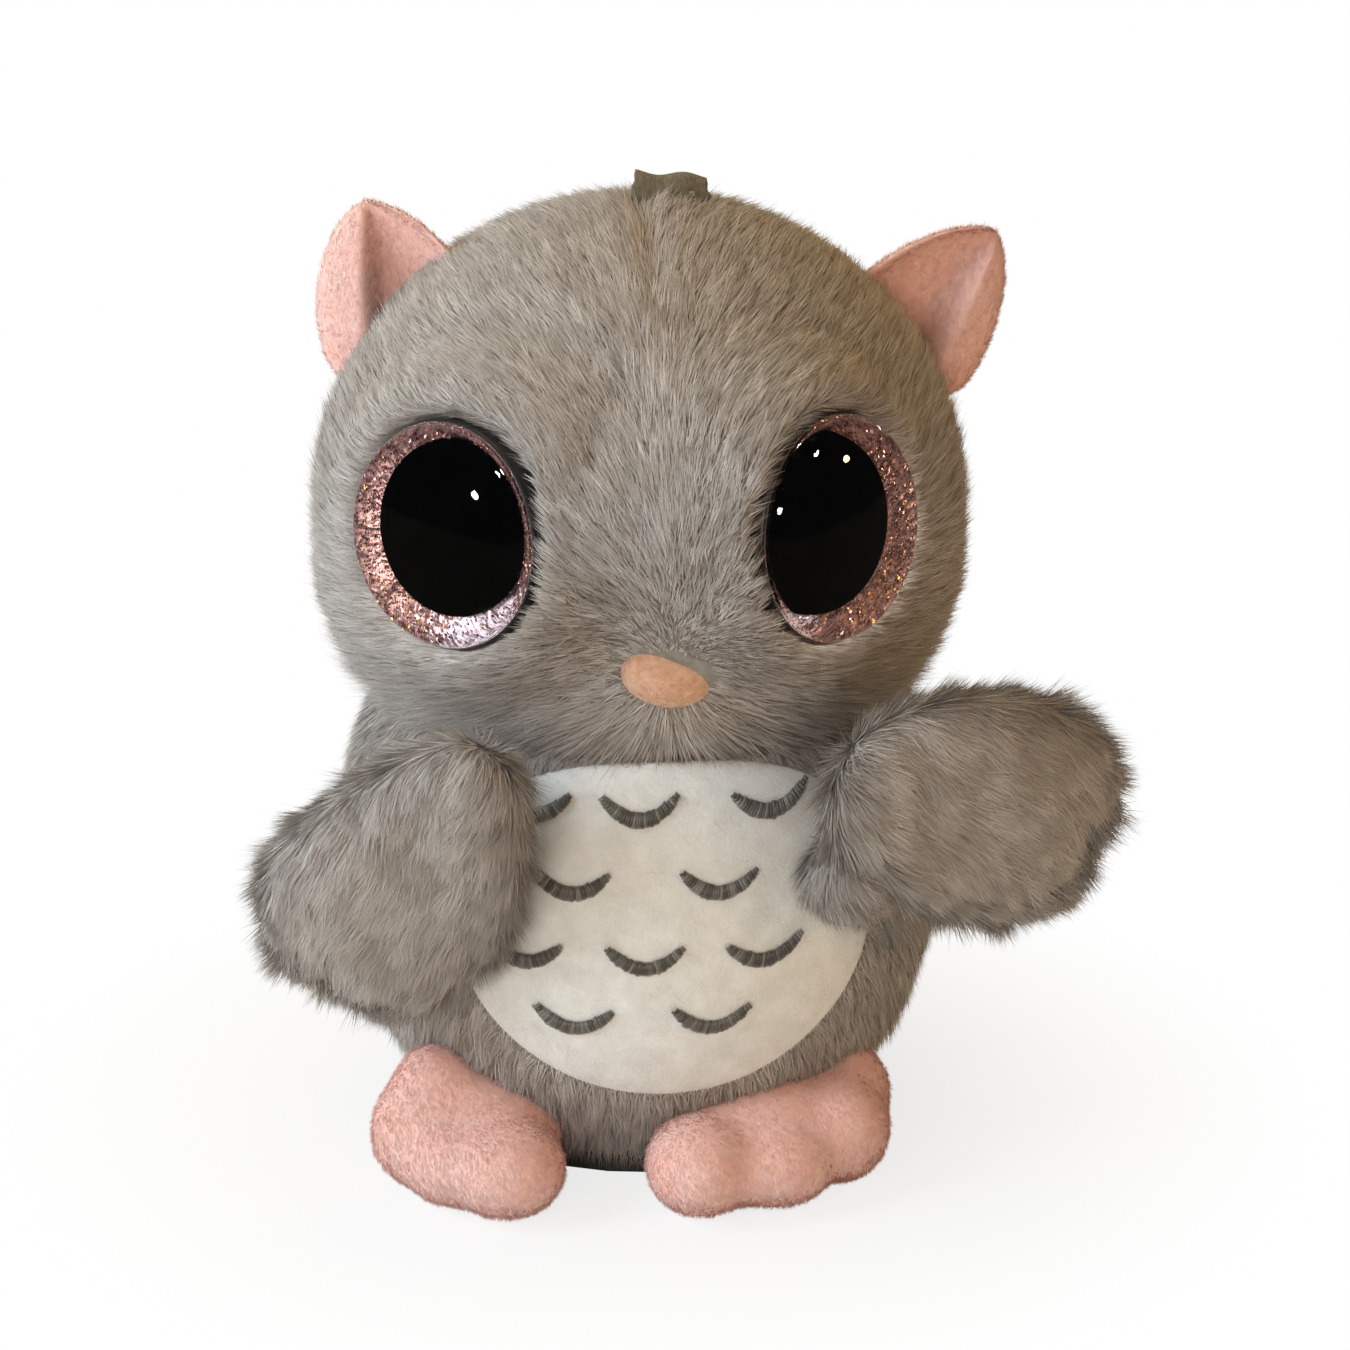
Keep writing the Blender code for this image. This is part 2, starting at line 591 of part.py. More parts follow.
def make_gearbox():
    rear = box("case_rear", (-CASE_X, CASE_Y[0], CASE_Z[0]), (CASE_X, CASE_Y[1], CASE_Z[1]), CASE)
    w = CASE_WALL
    cut(
        rear,
        box(
            "case_room",
            (-CASE_X + w, CASE_Y[0] - 2, CASE_Z[0] + w),
            (CASE_X - w, CASE_Y[1] - w, CASE_Z[1] - w),
        ),
    )
    front = box("case_front", (-CASE_X, COVER_Y[0], CASE_Z[0]), (CASE_X, COVER_Y[1], CASE_Z[1]), CASE)
    cover = box(
        "motor_cover",
        (MOTOR_X - 9.1, MOTOR_FRONT_Y - 1.6, MOTOR_Z - 11.6),
        (MOTOR_X + 9.1, -8.0, MOTOR_Z + 11.6),
    )
    join(front, cover)
    cut(
        front,
        box(
            "motor_room",
            (MOTOR_X - 7.8, MOTOR_FRONT_Y - 0.3, MOTOR_Z - 10.3),
            (MOTOR_X + 7.8, -5.0, MOTOR_Z + 10.3),
        ),
    )
    for k, (x, z) in enumerate(CASE_SCREWS):
        join(rear, rod(f"case_boss_{k}", 2.3, (x, CASE_Y[0], z), (x, CASE_Y[1] - 0.8, z), sides=12))
    for k, (x, z) in enumerate(CASE_SCREWS):
        cut(rear, rod(f"case_boss_hole_{k}", 1.1, (x, -12, z), (x, 3.5, z), sides=12))
        cut(front, rod(f"cover_hole_{k}", 1.2, (x, -12, z), (x, -5, z), sides=12))
        screw = turned(
            f"case_screw_{k + 1}",
            [(0.0, 1.5), (1.3, 1.4), (2.0, 0.8), (2.0, 0.0), (0.85, 0.0), (0.85, -11.0), (0.0, -11.6)],
            STEEL,
            8,
        )
        screw.location = (x * MM, (COVER_Y[0] - GAP) * MM, z * MM)
        face_front(screw)
    for side in (-1, 1):
        x = side * SHAFT_X
        hole = rod(f"case_shaft_hole_{side}", SHAFT_R + 0.25, (x, -12, SHAFT_Z), (x, 12, SHAFT_Z))
        cut(front, hole)
        cut(rear, hole)
    for name, z in (("drive_axle", DRIVE_Z), ("reduction_axle", REDUCTION_Z)):
        hole = rod(f"{name}_hole", 1.15, (0, -12, z), (0, 12, z))
        cut(front, hole)
        cut(rear, hole)
        rod(name, 1.0, (0, -8.8, z), (0, 8.1, z), STEEL)

    can = rod("motor_can", 10.0, (MOTOR_X, MOTOR_FRONT_Y, MOTOR_Z), (MOTOR_X, -7.6, MOTOR_Z), STEEL, 24)
    sides = box("motor_flats", (MOTOR_X - 7.5, -40, MOTOR_Z - 12), (MOTOR_X + 7.5, 0, MOTOR_Z + 12))
    boolean(can, sides, "INTERSECT")

    to_left = math.degrees(math.atan2(SHAFT_Z - DRIVE_Z, SHAFT_X))
    drive_tooth = to_left
    drive = layer_prism(
        "drive_gear", gear_outline(DRIVE_TEETH, WING_MODULE, drive_tooth), (LAYER_B[1], LAYER_A[1]), NYLON
    )
    ring = layer_prism(
        "drive_ring",
        gear_outline(RING_TEETH, RING_MODULE, -90.0),
        (LAYER_B[0], LAYER_B[1] + 0.6),
    )
    join(drive, ring)
    ring.location.z = drive.location.z = DRIVE_Z * MM
    cut(drive, rod("drive_bore", 1.1, (0, -12, DRIVE_Z), (0, 12, DRIVE_Z)))

    wheel = layer_prism(
        "reduction_gear", gear_outline(WHEEL_TEETH, WHEEL_MODULE, 180.0), LAYER_C, NYLON
    )
    small_tooth = mate_tooth(-90.0, -90.0, RING_TEETH, PINION_TEETH)
    small = layer_prism(
        "reduction_pinion",
        gear_outline(PINION_TEETH, RING_MODULE, small_tooth),
        (LAYER_C[1] - 0.6, LAYER_B[1]),
    )
    join(wheel, small)
    small.location.z = wheel.location.z = REDUCTION_Z * MM
    cut(wheel, rod("reduction_bore", 1.1, (0, -12, REDUCTION_Z), (0, 12, REDUCTION_Z)))

    motor_tooth = mate_tooth(180.0, 180.0, WHEEL_TEETH, MOTOR_TEETH)
    pinion = layer_prism(
        "motor_pinion", gear_outline(MOTOR_TEETH, WHEEL_MODULE, motor_tooth), LAYER_C, STEEL
    )
    pinion.location = (MOTOR_X * MM, 0, MOTOR_Z * MM)
    join(pinion, rod("pinion_shaft", 1.0, (MOTOR_X, -7.3, MOTOR_Z), (MOTOR_X, -3.0, MOTOR_Z), sides=12))

    swing_low = -6.0
    swing_high = 30.0
    spare = 6.5
    for name, side in (("wing_left", 1), ("wing_right", -1)):
        from_drive = to_left if side == 1 else 180.0 - to_left
        tooth = mate_tooth(from_drive, drive_tooth, DRIVE_TEETH, WING_TEETH)
        home = from_drive + 180.0
        outline = gear_outline(
            WING_TEETH, WING_MODULE, tooth, home + swing_low - spare, home + swing_high + spare, hub=3.2
        )
        shaft = layer_prism(f"{name}_shaft", outline, LAYER_A, NYLON)
        shaft.location = (side * SHAFT_X * MM, 0, SHAFT_Z * MM)
        x = side * SHAFT_X
        join(shaft, rod(f"{name}_bar", SHAFT_R, (x, SHAFT_FRONT_Y, SHAFT_Z), (x, 7.9, SHAFT_Z)))


# ---------------------------------------------------------------- wings
def make_wing(name, side, x, z, slope, lever):
    lean = math.radians(WING_TILT)
    drop = math.radians(slope)
    along = Vector((math.cos(lean) * side, math.sin(lean), 0))
    out = Vector((math.sin(lean) * side, -math.cos(lean), 0))
    swing = Matrix.Rotation(drop * side, 3, "Y")
    along = swing @ along
    out = swing @ out
    across = out.cross(along)
    turn = Matrix((along, across, out)).transposed()
    hub = Vector((side * SHAFT_X, WING_PLANE_Y, SHAFT_Z))
    reach = Vector((side * x, 0, z)) - hub
    flat = Vector((reach.x, 0, reach.z))
    # the leaf's middle lies in the plane through the hub that holds along and across
    depth = -(out.x * flat.x + out.z * flat.z) / out.y
    middle = hub + Vector((flat.x, depth, flat.z))

    leaf = egg(name + "_plush", middle, WING_SEMI, FUR, turn, 22, 10, square=2.35)
    aim = (middle + along * (lever - (middle - hub).length)) - hub
    aim.normalize()
    bar_turn = Matrix((aim, out.cross(aim).normalized(), out)).transposed()

    def bar(label, grow, look=None, start=0.0):
        bm = bmesh.new()
        bmesh.ops.create_cube(bm, size=1.0)
        size = Vector((lever - start + 2 * grow, 3.4 + 2 * grow, 1.5 + 2 * grow)) * MM
        bmesh.ops.scale(bm, vec=size, verts=bm.verts)
        place = (hub + aim * (lever + start) / 2) * MM
        bmesh.ops.transform(bm, matrix=Matrix.Translation(place) @ bar_turn.to_4x4(), verts=bm.verts)
        return from_bmesh(label, bm, look)

    arm = bar(name + "_lever", 0.0, NYLON)
    back_y = SHAFT_FRONT_Y - 0.3
    join(arm, rod(name + "_boss", 3.2, (hub.x, hub.y - 0.2, hub.z), (hub.x, back_y, hub.z)))
    cut(
        leaf,
        bar(name + "_pocket", 0.35),
        rod(name + "_entry", 3.6, (hub.x, hub.y - 1.6, hub.z), (hub.x, hub.y + 16, hub.z)),
    )
    shaft = bpy.data.objects[name + "_shaft"]
    pivot = axis_empty(name + "_axis", side * SHAFT_X, 0, SHAFT_Z)
    carry(pivot, leaf, arm, shaft)


# ---------------------------------------------------------------- head
def make_head():
    head_axis = axis_empty("head_axis", yaw=HEAD_YAW)
    gear_axes = (("drive_gear", 0.0, DRIVE_Z), ("reduction_gear", 0.0, REDUCTION_Z),
                 ("motor_pinion", MOTOR_X, MOTOR_Z))
    for name, x, z in gear_axes:
        carry(axis_empty(name + "_axis", x, 0, z), bpy.data.objects[name])

    def in_head(*things):
        for thing in things:
            thing.parent = head_axis

    def head_egg(name, grow, look=None, segments=28, rings=14):
        semi = [s + grow for s in HEAD_SEMI]
        made = bun(name, (0, 0, HEAD_Z), semi, HEAD_LOW + grow, HEAD_SQUARE, look, segments, rings)
        in_head(made)
        return made

    skin = head_egg("head_plush", 0.0, FUR)
    cut(skin, head_egg("head_room", -SKIN, None, 20, 10))
    neck = rod("head_neck_hole", 9.6, (0, 0, 50), (0, 0, 90), sides=24)
    in_head(neck)
    cut(skin, neck)
    stuffing = head_egg("head_stuffing", -SKIN - 1.0, FILL, 20, 10)
    wells = [
        rod("socket_room", 9.0, (0, 0, 50), (0, 0, 94.6), sides=20),
        rod("flange_room", 19.6, (0, 0, 50), (0, 0, 77.6), sides=24),
    ]
    in_head(*wells)
    cut(stuffing, *wells)

    socket = turned(
        "head_frame",
        [(5.3, 91.6), (8.4, 91.6), (8.4, 77.0), (18.6, 77.0), (18.6, 75.3), (8.4, 75.3),
         (8.4, 68.2), (5.3, 68.2)],
        NYLON,
        24,
        ring=True,
    )
    in_head(socket)
    turned(
        "neck_post",
        [(0.0, 91.6), (5.0, 91.6), (5.0, 67.2), (9.0, 67.2), (9.0, CASE_Z[1] + GAP), (0.0, CASE_Z[1] + GAP)],
        CASE,
        24,
    )
    turned("neck_cap", [(0.0, 93.8), (7.0, 93.8), (7.6, 93.2), (7.6, 91.9), (0.0, 91.9)], STEEL, 24)

    for name, side, place in (("eye_left", 1, EYE_LEFT), ("eye_right", -1, EYE_RIGHT)):
        make_eye(name, side, place, skin, stuffing, in_head)

    nose = egg("nose", (0, -42.6, 87.6), (7.2, 4.2, 4.8), PINK, None, 14, 8)
    in_head(nose)
    cut(nose, head_egg("nose_seat", GAP))

    for name, side, lean, x, z in (("ear_left", 1, 42, 43.0, 130.5), ("ear_right", -1, 20, 38.0, 131.5)):
        turn = Euler((0, math.radians(lean * side), 0)).to_matrix()
        turn = Euler((0, 0, math.radians(14 * side))).to_matrix() @ turn
        ear = egg(name, (x * side, 4.0, z), (12.6, 5.4, 17.5), PINK, turn, 16, 8)
        in_head(ear)
        cut(ear, head_egg(f"{name}_seat", GAP))

    loop = turned("hanging_loop", ring_profile(3.4, 1.3), KHAKI, 14, ring=True)
    loop.scale = (1.25, 0.75, 1.4)
    loop.rotation_euler = (math.pi / 2, 0, 0)
    loop.location = (5.0 * MM, 0, (HEAD_Z + HEAD_SEMI[2] + 3.4) * MM)
    in_head(loop)


def ring_profile(radius, wire):
    """A round section for a ring, run down its outer side."""
    points = []
    for k in range(6):
        a = 2 * math.pi * k / 6
        points.append((radius + wire * math.sin(a), wire * math.cos(a)))
    return points


def make_eye(name, side, place, skin, stuffing, in_head):
    turn = Euler((math.radians(90 - EYE_TILT), 0, math.radians(EYE_YAW * side)))
    centre = Vector(place) * MM
    rim = EYE_R

    cup = turned(
        f"{name}_cup",
        [(0.0, 1.2), (rim - 1.0, 1.2), (rim - 1.0, 3.2), (rim, 3.2), (rim, 0.6), (rim - 1.6, 0.0),
         (2.4, 0.0), (2.4, -12.0), (0.0, -12.6)],
        BLACK,
        24,
    )
    iris = turned(
        f"{name}_iris", [(0.0, 2.0), (rim - 1.4, 2.0), (rim - 1.4, 1.5), (0.0, 1.5)], COPPER_GLITTER, 24
    )
    pupil = turned(
        f"{name}_pupil", [(0.0, 2.8), (PUPIL_R, 2.8), (PUPIL_R, 2.3), (0.0, 2.3)], BLACK, 20
    )
    dome = []
    for k in range(5):
        r = (rim - 0.6) * math.sin(math.pi / 2 * k / 5)
        dome.append((r, 4.6 + 7.2 * math.cos(math.pi / 2 * k / 5)))
    dome += [(rim - 0.35, 4.7), (rim - 0.35, 3.5), (0.0, 3.5)]
    lens = turned(f"{name}_lens", dome, CLEAR, 24)
    washer = turned(
        f"{name}_washer", [(2.75, -9.9), (6.4, -9.9), (6.4, -11.1), (2.75, -11.1)], NYLON, 12, ring=True
    )
    stem_hole = turned(f"{name}_stem_hole", [(0.0, 9.0), (3.1, 9.0), (3.1, -14.0), (0.0, -14.0)], None, 10)
    washer_room = turned(f"{name}_washer_room", [(0.0, 9.0), (7.0, 9.0), (7.0, -11.6), (0.0, -11.6)], None, 10)
    for thing in (cup, iris, pupil, lens, washer, stem_hole, washer_room):
        thing.rotation_euler = turn
        thing.location = centre
        in_head(thing)
    # the pupil sits towards the nose and up, as the eye is printed
    pupil.location = centre + turn.to_matrix() @ Vector((-1.6 * side, 1.3, 0)) * MM
    # the eye's back is pressed a little into the cheek
    pocket = turned(
        f"{name}_pocket", [(0.0, 14.0), (rim + 0.35, 14.0), (rim + 0.35, -0.3), (0.0, -0.3)], None, 24
    )
    pocket.rotation_euler = turn
    pocket.location = centre
    in_head(pocket)
    cut(skin, stem_hole, pocket)
    cut(stuffing, stem_hole, washer_room)


make_body()
make_feet()
make_base()
make_switch()
make_sound()
make_button()
make_gearbox()
for wing, shape in WINGS.items():
    make_wing(wing, **shape)
make_head()
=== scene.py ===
"""The looks of a plush owl with a mechanism inside: skins, fur, eyes, embroidery and a plain studio.

Profiles, sizes and places that are written as plain numbers are in millimetres and are multiplied by MM.
Everything that comes from the frame is in metres, and so are lamps, camera and texture sizes.
The fur is real geometry: each hair is a thin triangle, combed along its skin and gathered into tufts.
"""
import json
import math

import bmesh
import bpy
import numpy as np
from mathutils import Euler, Matrix, Vector


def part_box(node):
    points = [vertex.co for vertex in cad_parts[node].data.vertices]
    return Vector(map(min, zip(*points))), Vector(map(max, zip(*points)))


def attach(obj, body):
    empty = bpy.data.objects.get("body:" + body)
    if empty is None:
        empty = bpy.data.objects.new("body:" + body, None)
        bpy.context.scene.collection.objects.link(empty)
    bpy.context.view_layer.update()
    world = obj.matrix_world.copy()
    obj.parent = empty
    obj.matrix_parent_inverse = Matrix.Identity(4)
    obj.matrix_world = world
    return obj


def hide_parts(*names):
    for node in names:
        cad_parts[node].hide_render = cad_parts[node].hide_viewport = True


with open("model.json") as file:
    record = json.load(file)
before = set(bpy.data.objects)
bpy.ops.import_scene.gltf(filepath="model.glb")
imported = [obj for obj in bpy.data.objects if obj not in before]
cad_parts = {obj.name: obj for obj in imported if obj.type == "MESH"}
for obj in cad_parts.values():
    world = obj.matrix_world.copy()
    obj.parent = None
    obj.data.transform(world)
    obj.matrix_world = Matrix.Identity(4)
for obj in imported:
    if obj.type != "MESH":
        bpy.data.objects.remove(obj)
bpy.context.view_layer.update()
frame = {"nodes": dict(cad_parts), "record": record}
nodes = frame["nodes"]

MM = 0.001
HEAD_YAW = 2.5                   # degrees that the head is turned in the stored pose
WING_SEMI = (24.0, 17.0, 6.0)    # half sizes along, across and through a wing
WING_TILT = 22.0                 # degrees that the wings lean back
WING_SLOPE = {"wing_left": 20.0, "wing_right": 60.0}
EYE_YAW = 45.0                   # degrees that each eye looks outwards
EYE_TILT = 4.0                   # and up
EYE_R = 17.4
PUPIL_R = 11.8


def box_middle(node):
    low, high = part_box(node)
    return np.array((low + high) / 2)


# ---- materials
def new_material(name):
    material = bpy.data.materials.new(name)
    material.use_nodes = True
    return material, material.node_tree, material.node_tree.nodes["Principled BSDF"]


def set_sockets(shader, **values):
    for key, value in values.items():
        shader.inputs[key.replace("_", " ")].default_value = value


def plain(name, colour, roughness, metallic=0.0, **more):
    """One colour: only for single hairs, threads and flakes, which differ from each other instead."""
    material, _, shader = new_material(name)
    set_sockets(shader, Base_Color=(*colour, 1), Roughness=roughness, Metallic=metallic, **more)
    material.diffuse_color = (*colour, 1)
    return material


def add_node(tree, kind, *links, **values):
    """A shader node. Links are (output, input's name or number); values set its sockets by name."""
    made = tree.nodes.new("ShaderNode" + kind)
    set_sockets(made, **values)
    for output, place in links:
        tree.links.new(output, made.inputs[place])
    return made


def add_ramp(tree, value, dark, light, low=0.0, high=1.0):
    """The colour between two that a value picks."""
    ramp = add_node(tree, "ValToRGB", (value, "Fac"))
    for element, position, colour in zip(ramp.color_ramp.elements, (low, high), (dark, light)):
        element.position = position
        element.color = (*colour, 1)
    return ramp.outputs["Color"]


def mix_by(tree, share, one, two):
    """One node's shader, changed for another's where share is 1."""
    return add_node(tree, "MixShader", (share, 0), (one.outputs[0], 1), (two.outputs[0], 2))


def patterned(name, dark, light, size, roughness, metallic=0.0, bump=0.2, bump_size=None, spread=0.1,
              stretch=(1, 1, 1), **more):
    """Two colours mixed by noise of one size in metres, with a finer bump and a roughness that varies."""
    material, tree, shader = new_material(name)
    set_sockets(shader, Metallic=metallic, **more)
    place = add_node(tree, "TexCoord").outputs["Object"]
    scaled = add_node(tree, "Mapping", (place, "Vector"), Scale=stretch).outputs["Vector"]
    broad = add_node(tree, "TexNoise", (scaled, "Vector"), Scale=1 / size, Detail=4).outputs["Fac"]
    tree.links.new(add_ramp(tree, broad, dark, light, 0.32, 0.68), shader.inputs["Base Color"])
    rough = add_node(tree, "MapRange", (broad, "Value"), To_Min=max(0.02, roughness - spread),
                     To_Max=min(1.0, roughness + spread))
    tree.links.new(rough.outputs["Result"], shader.inputs["Roughness"])
    if bump:
        fine = bump_size or size / 4
        height = add_node(tree, "TexNoise", (scaled, "Vector"), Scale=1 / fine, Detail=3).outputs["Fac"]
        relief = add_node(tree, "Bump", (height, "Height"), Strength=bump, Distance=fine / 2)
        tree.links.new(relief.outputs["Normal"], shader.inputs["Normal"])
    material.diffuse_color = (*light, 1)
    return material


SHEEN = {"Sheen_Weight": 0.45, "Sheen_Roughness": 0.5, "Specular_IOR_Level": 0.2}
grey_skin = patterned("grey_backing", (0.20, 0.17, 0.14), (0.28, 0.245, 0.21), 0.0016, 0.95, **SHEEN)
cream_skin = patterned("cream_pile", (0.72, 0.71, 0.67), (0.84, 0.84, 0.81), 0.004, 0.9, bump=0.35,
                       bump_size=0.0006, **SHEEN)
pink_skin = patterned("pink_pile", (0.90, 0.52, 0.42), (0.93, 0.62, 0.54), 0.006, 0.9, bump=0.3,
                      bump_size=0.0005, **SHEEN)
nose_skin = patterned("nose_flock", (0.58, 0.31, 0.18), (0.74, 0.46, 0.32), 0.0012, 0.95, bump=0.35,
                      bump_size=0.0003, **SHEEN)
ribbon_khaki = patterned("khaki_woven_ribbon", (0.13, 0.105, 0.065), (0.23, 0.19, 0.125), 0.0007, 0.85,
                         bump=0.5, bump_size=0.00025, stretch=(3, 1, 1), **SHEEN)

FUR_TONES = ((0.25, 0.21, 0.18), (0.33, 0.285, 0.255), (0.40, 0.355, 0.32), (0.46, 0.415, 0.38),
             (0.54, 0.50, 0.465), (0.65, 0.61, 0.575))
CREAM_TONES = ((0.84, 0.84, 0.815), (0.91, 0.91, 0.90))
PINK_TONES = ((0.89, 0.56, 0.49), (0.92, 0.63, 0.57), (0.95, 0.70, 0.66))
NOSE_TONES = ((0.72, 0.44, 0.29), (0.86, 0.62, 0.48))


def hair_materials(name, tones, roughness, **more):
    return [plain(f"{name}_{k + 1}", tone, roughness, **more) for k, tone in enumerate(tones)]


fur_materials = hair_materials("fur_tone", FUR_TONES, 0.72, Specular_IOR_Level=0.25, Sheen_Weight=0.25,
                               Sheen_Roughness=0.4)
cream_hairs = hair_materials("cream_hair", CREAM_TONES, 0.85, Specular_IOR_Level=0.2, Sheen_Weight=0.3)
pink_hairs = hair_materials("pink_hair", PINK_TONES, 0.85, Specular_IOR_Level=0.2, Sheen_Weight=0.3)
nose_hairs = hair_materials("nose_hair", NOSE_TONES, 0.9, Specular_IOR_Level=0.15, Sheen_Weight=0.3)
THREAD_TONES = ((0.085, 0.075, 0.062), (0.13, 0.118, 0.102), (0.2, 0.19, 0.175))
threads = hair_materials("thread", THREAD_TONES, 0.38, Specular_IOR_Level=0.6, Sheen_Weight=0.2,
                         Anisotropic=0.5)
eye_black = patterned("eye_black_gloss", (0.002, 0.002, 0.003), (0.004, 0.004, 0.005), 0.004, 0.1, bump=0.0,
                      spread=0.03, Specular_IOR_Level=0.0)
cup_black = patterned("eye_cup_black", (0.008, 0.008, 0.008), (0.016, 0.015, 0.015), 0.002, 0.35, bump=0.05)
dome_clear, _, _dome = new_material("eye_dome_clear")
set_sockets(_dome, Base_Color=(0.99, 0.99, 1.0, 1), Roughness=0.0, IOR=1.46, Transmission_Weight=1.0)


# ---- meshes
def mesh_from(name, points, faces, materials, smooth=True, indices=None):
    """A new object from arrays. Faces are lists of corner numbers, all of one length or mixed."""
    mesh = bpy.data.meshes.new(name)
    mesh.from_pydata([tuple(p) for p in np.asarray(points, float)], [], [tuple(f) for f in faces])
    for material in materials:
        mesh.materials.append(material)
    if indices is not None:
        mesh.polygons.foreach_set("material_index", np.asarray(indices, np.int32))
    if smooth:
        mesh.shade_smooth()
    made = bpy.data.objects.new(name, mesh)
    bpy.context.scene.collection.objects.link(made)
    return made


def sphere_points(level):
    """A unit icosphere as arrays."""
    bm = bmesh.new()
    bmesh.ops.create_icosphere(bm, subdivisions=level, radius=1.0)
    points = np.array([v.co for v in bm.verts], float)
    faces = [[v.index for v in f.verts] for f in bm.faces]
    bm.free()
    return points, faces


def smooth_step(low, high, value):
    t = np.clip((value - low) / (high - low), 0, 1)
    return t * t * (3 - 2 * t)


def unit(vectors):
    return vectors / np.maximum(np.linalg.norm(vectors, axis=-1, keepdims=True), 1e-12)


def leaning(*direction):
    """A comb that lays every hair the same way."""
    return lambda p: np.tile(direction, (len(p), 1))


def band_faces(rows, steps):
    """The faces between rows of points round a shape, all rows with the same number of steps."""
    faces = []
    for low in range(0, (rows - 1) * steps, steps):
        for k in range(steps):
            m = (k + 1) % steps
            faces.append((low + k, low + m, low + steps + m, low + steps + k))
    return faces


def turn_outwards(thing, merge=None):
    """Turns every face outwards, after merging corners that lie within a distance."""
    bm = bmesh.new()
    bm.from_mesh(thing.data)
    if merge:
        bmesh.ops.remove_doubles(bm, verts=bm.verts, dist=merge)
    bmesh.ops.recalc_face_normals(bm, faces=bm.faces)
    bm.to_mesh(thing.data)
    bm.free()


def hash01(cells, salt):
    """A number from 0 to 1 for each whole-number cell, always the same."""
    a = cells.astype(np.int64)
    h = a[..., 0] * 73856093 ^ a[..., 1] * 19349663 ^ a[..., 2] * 83492791 ^ (salt * 2654435761)
    h = (h ^ (h >> 13)) * 1274126177
    h = (h ^ (h >> 16)) & 0xFFFFFFFF
    return h / 4294967295.0


def tuft_of(points, size):
    """For each point: the middle of its tuft, and three numbers that its whole tuft shares."""
    scaled = points / size
    base = np.floor(scaled)
    best = np.full(len(points), 1e9)
    middle = np.zeros_like(points)
    cell = np.zeros_like(points)
    for dx in (-1, 0, 1):
        for dy in (-1, 0, 1):
            for dz in (-1, 0, 1):
                c = base + (dx, dy, dz)
                spot = c + np.stack([hash01(c, k) for k in (1, 2, 3)], axis=-1)
                far = np.linalg.norm(spot - scaled, axis=1)
                near = far < best
                best[near] = far[near]
                middle[near] = spot[near]
                cell[near] = c[near]
    return middle * size, np.stack([hash01(cell, k) for k in (4, 5, 6)], axis=-1)


def read_array(items, field, kind=float):
    """A field of three numbers of every vertex or triangle, one row each."""
    values = np.zeros(len(items) * 3, kind)
    items.foreach_get(field, values)
    return values.reshape(-1, 3)


def scatter(skin, count, rng):
    """Points spread evenly over a skin, with its smooth normals."""
    mesh = skin.data
    mesh.calc_loop_triangles()
    corners = read_array(mesh.loop_triangles, "vertices", np.int32)
    co = read_array(mesh.vertices, "co")
    normal = read_array(mesh.vertices, "normal")
    a, b, c = (co[corners[:, k]] for k in range(3))
    area = np.linalg.norm(np.cross(b - a, c - a), axis=1)
    pick = rng.choice(len(corners), size=count, p=area / area.sum())
    u, v = rng.random(count), rng.random(count)
    flip = u + v > 1
    u[flip], v[flip] = 1 - u[flip], 1 - v[flip]
    weights = np.stack([1 - u - v, u, v], axis=1)[:, :, None]
    chosen = corners[pick]
    return (co[chosen] * weights).sum(1), unit((normal[chosen] * weights).sum(1))


ROOT_DEPTH = 0.15 * MM    # how far a hair starts below its skin


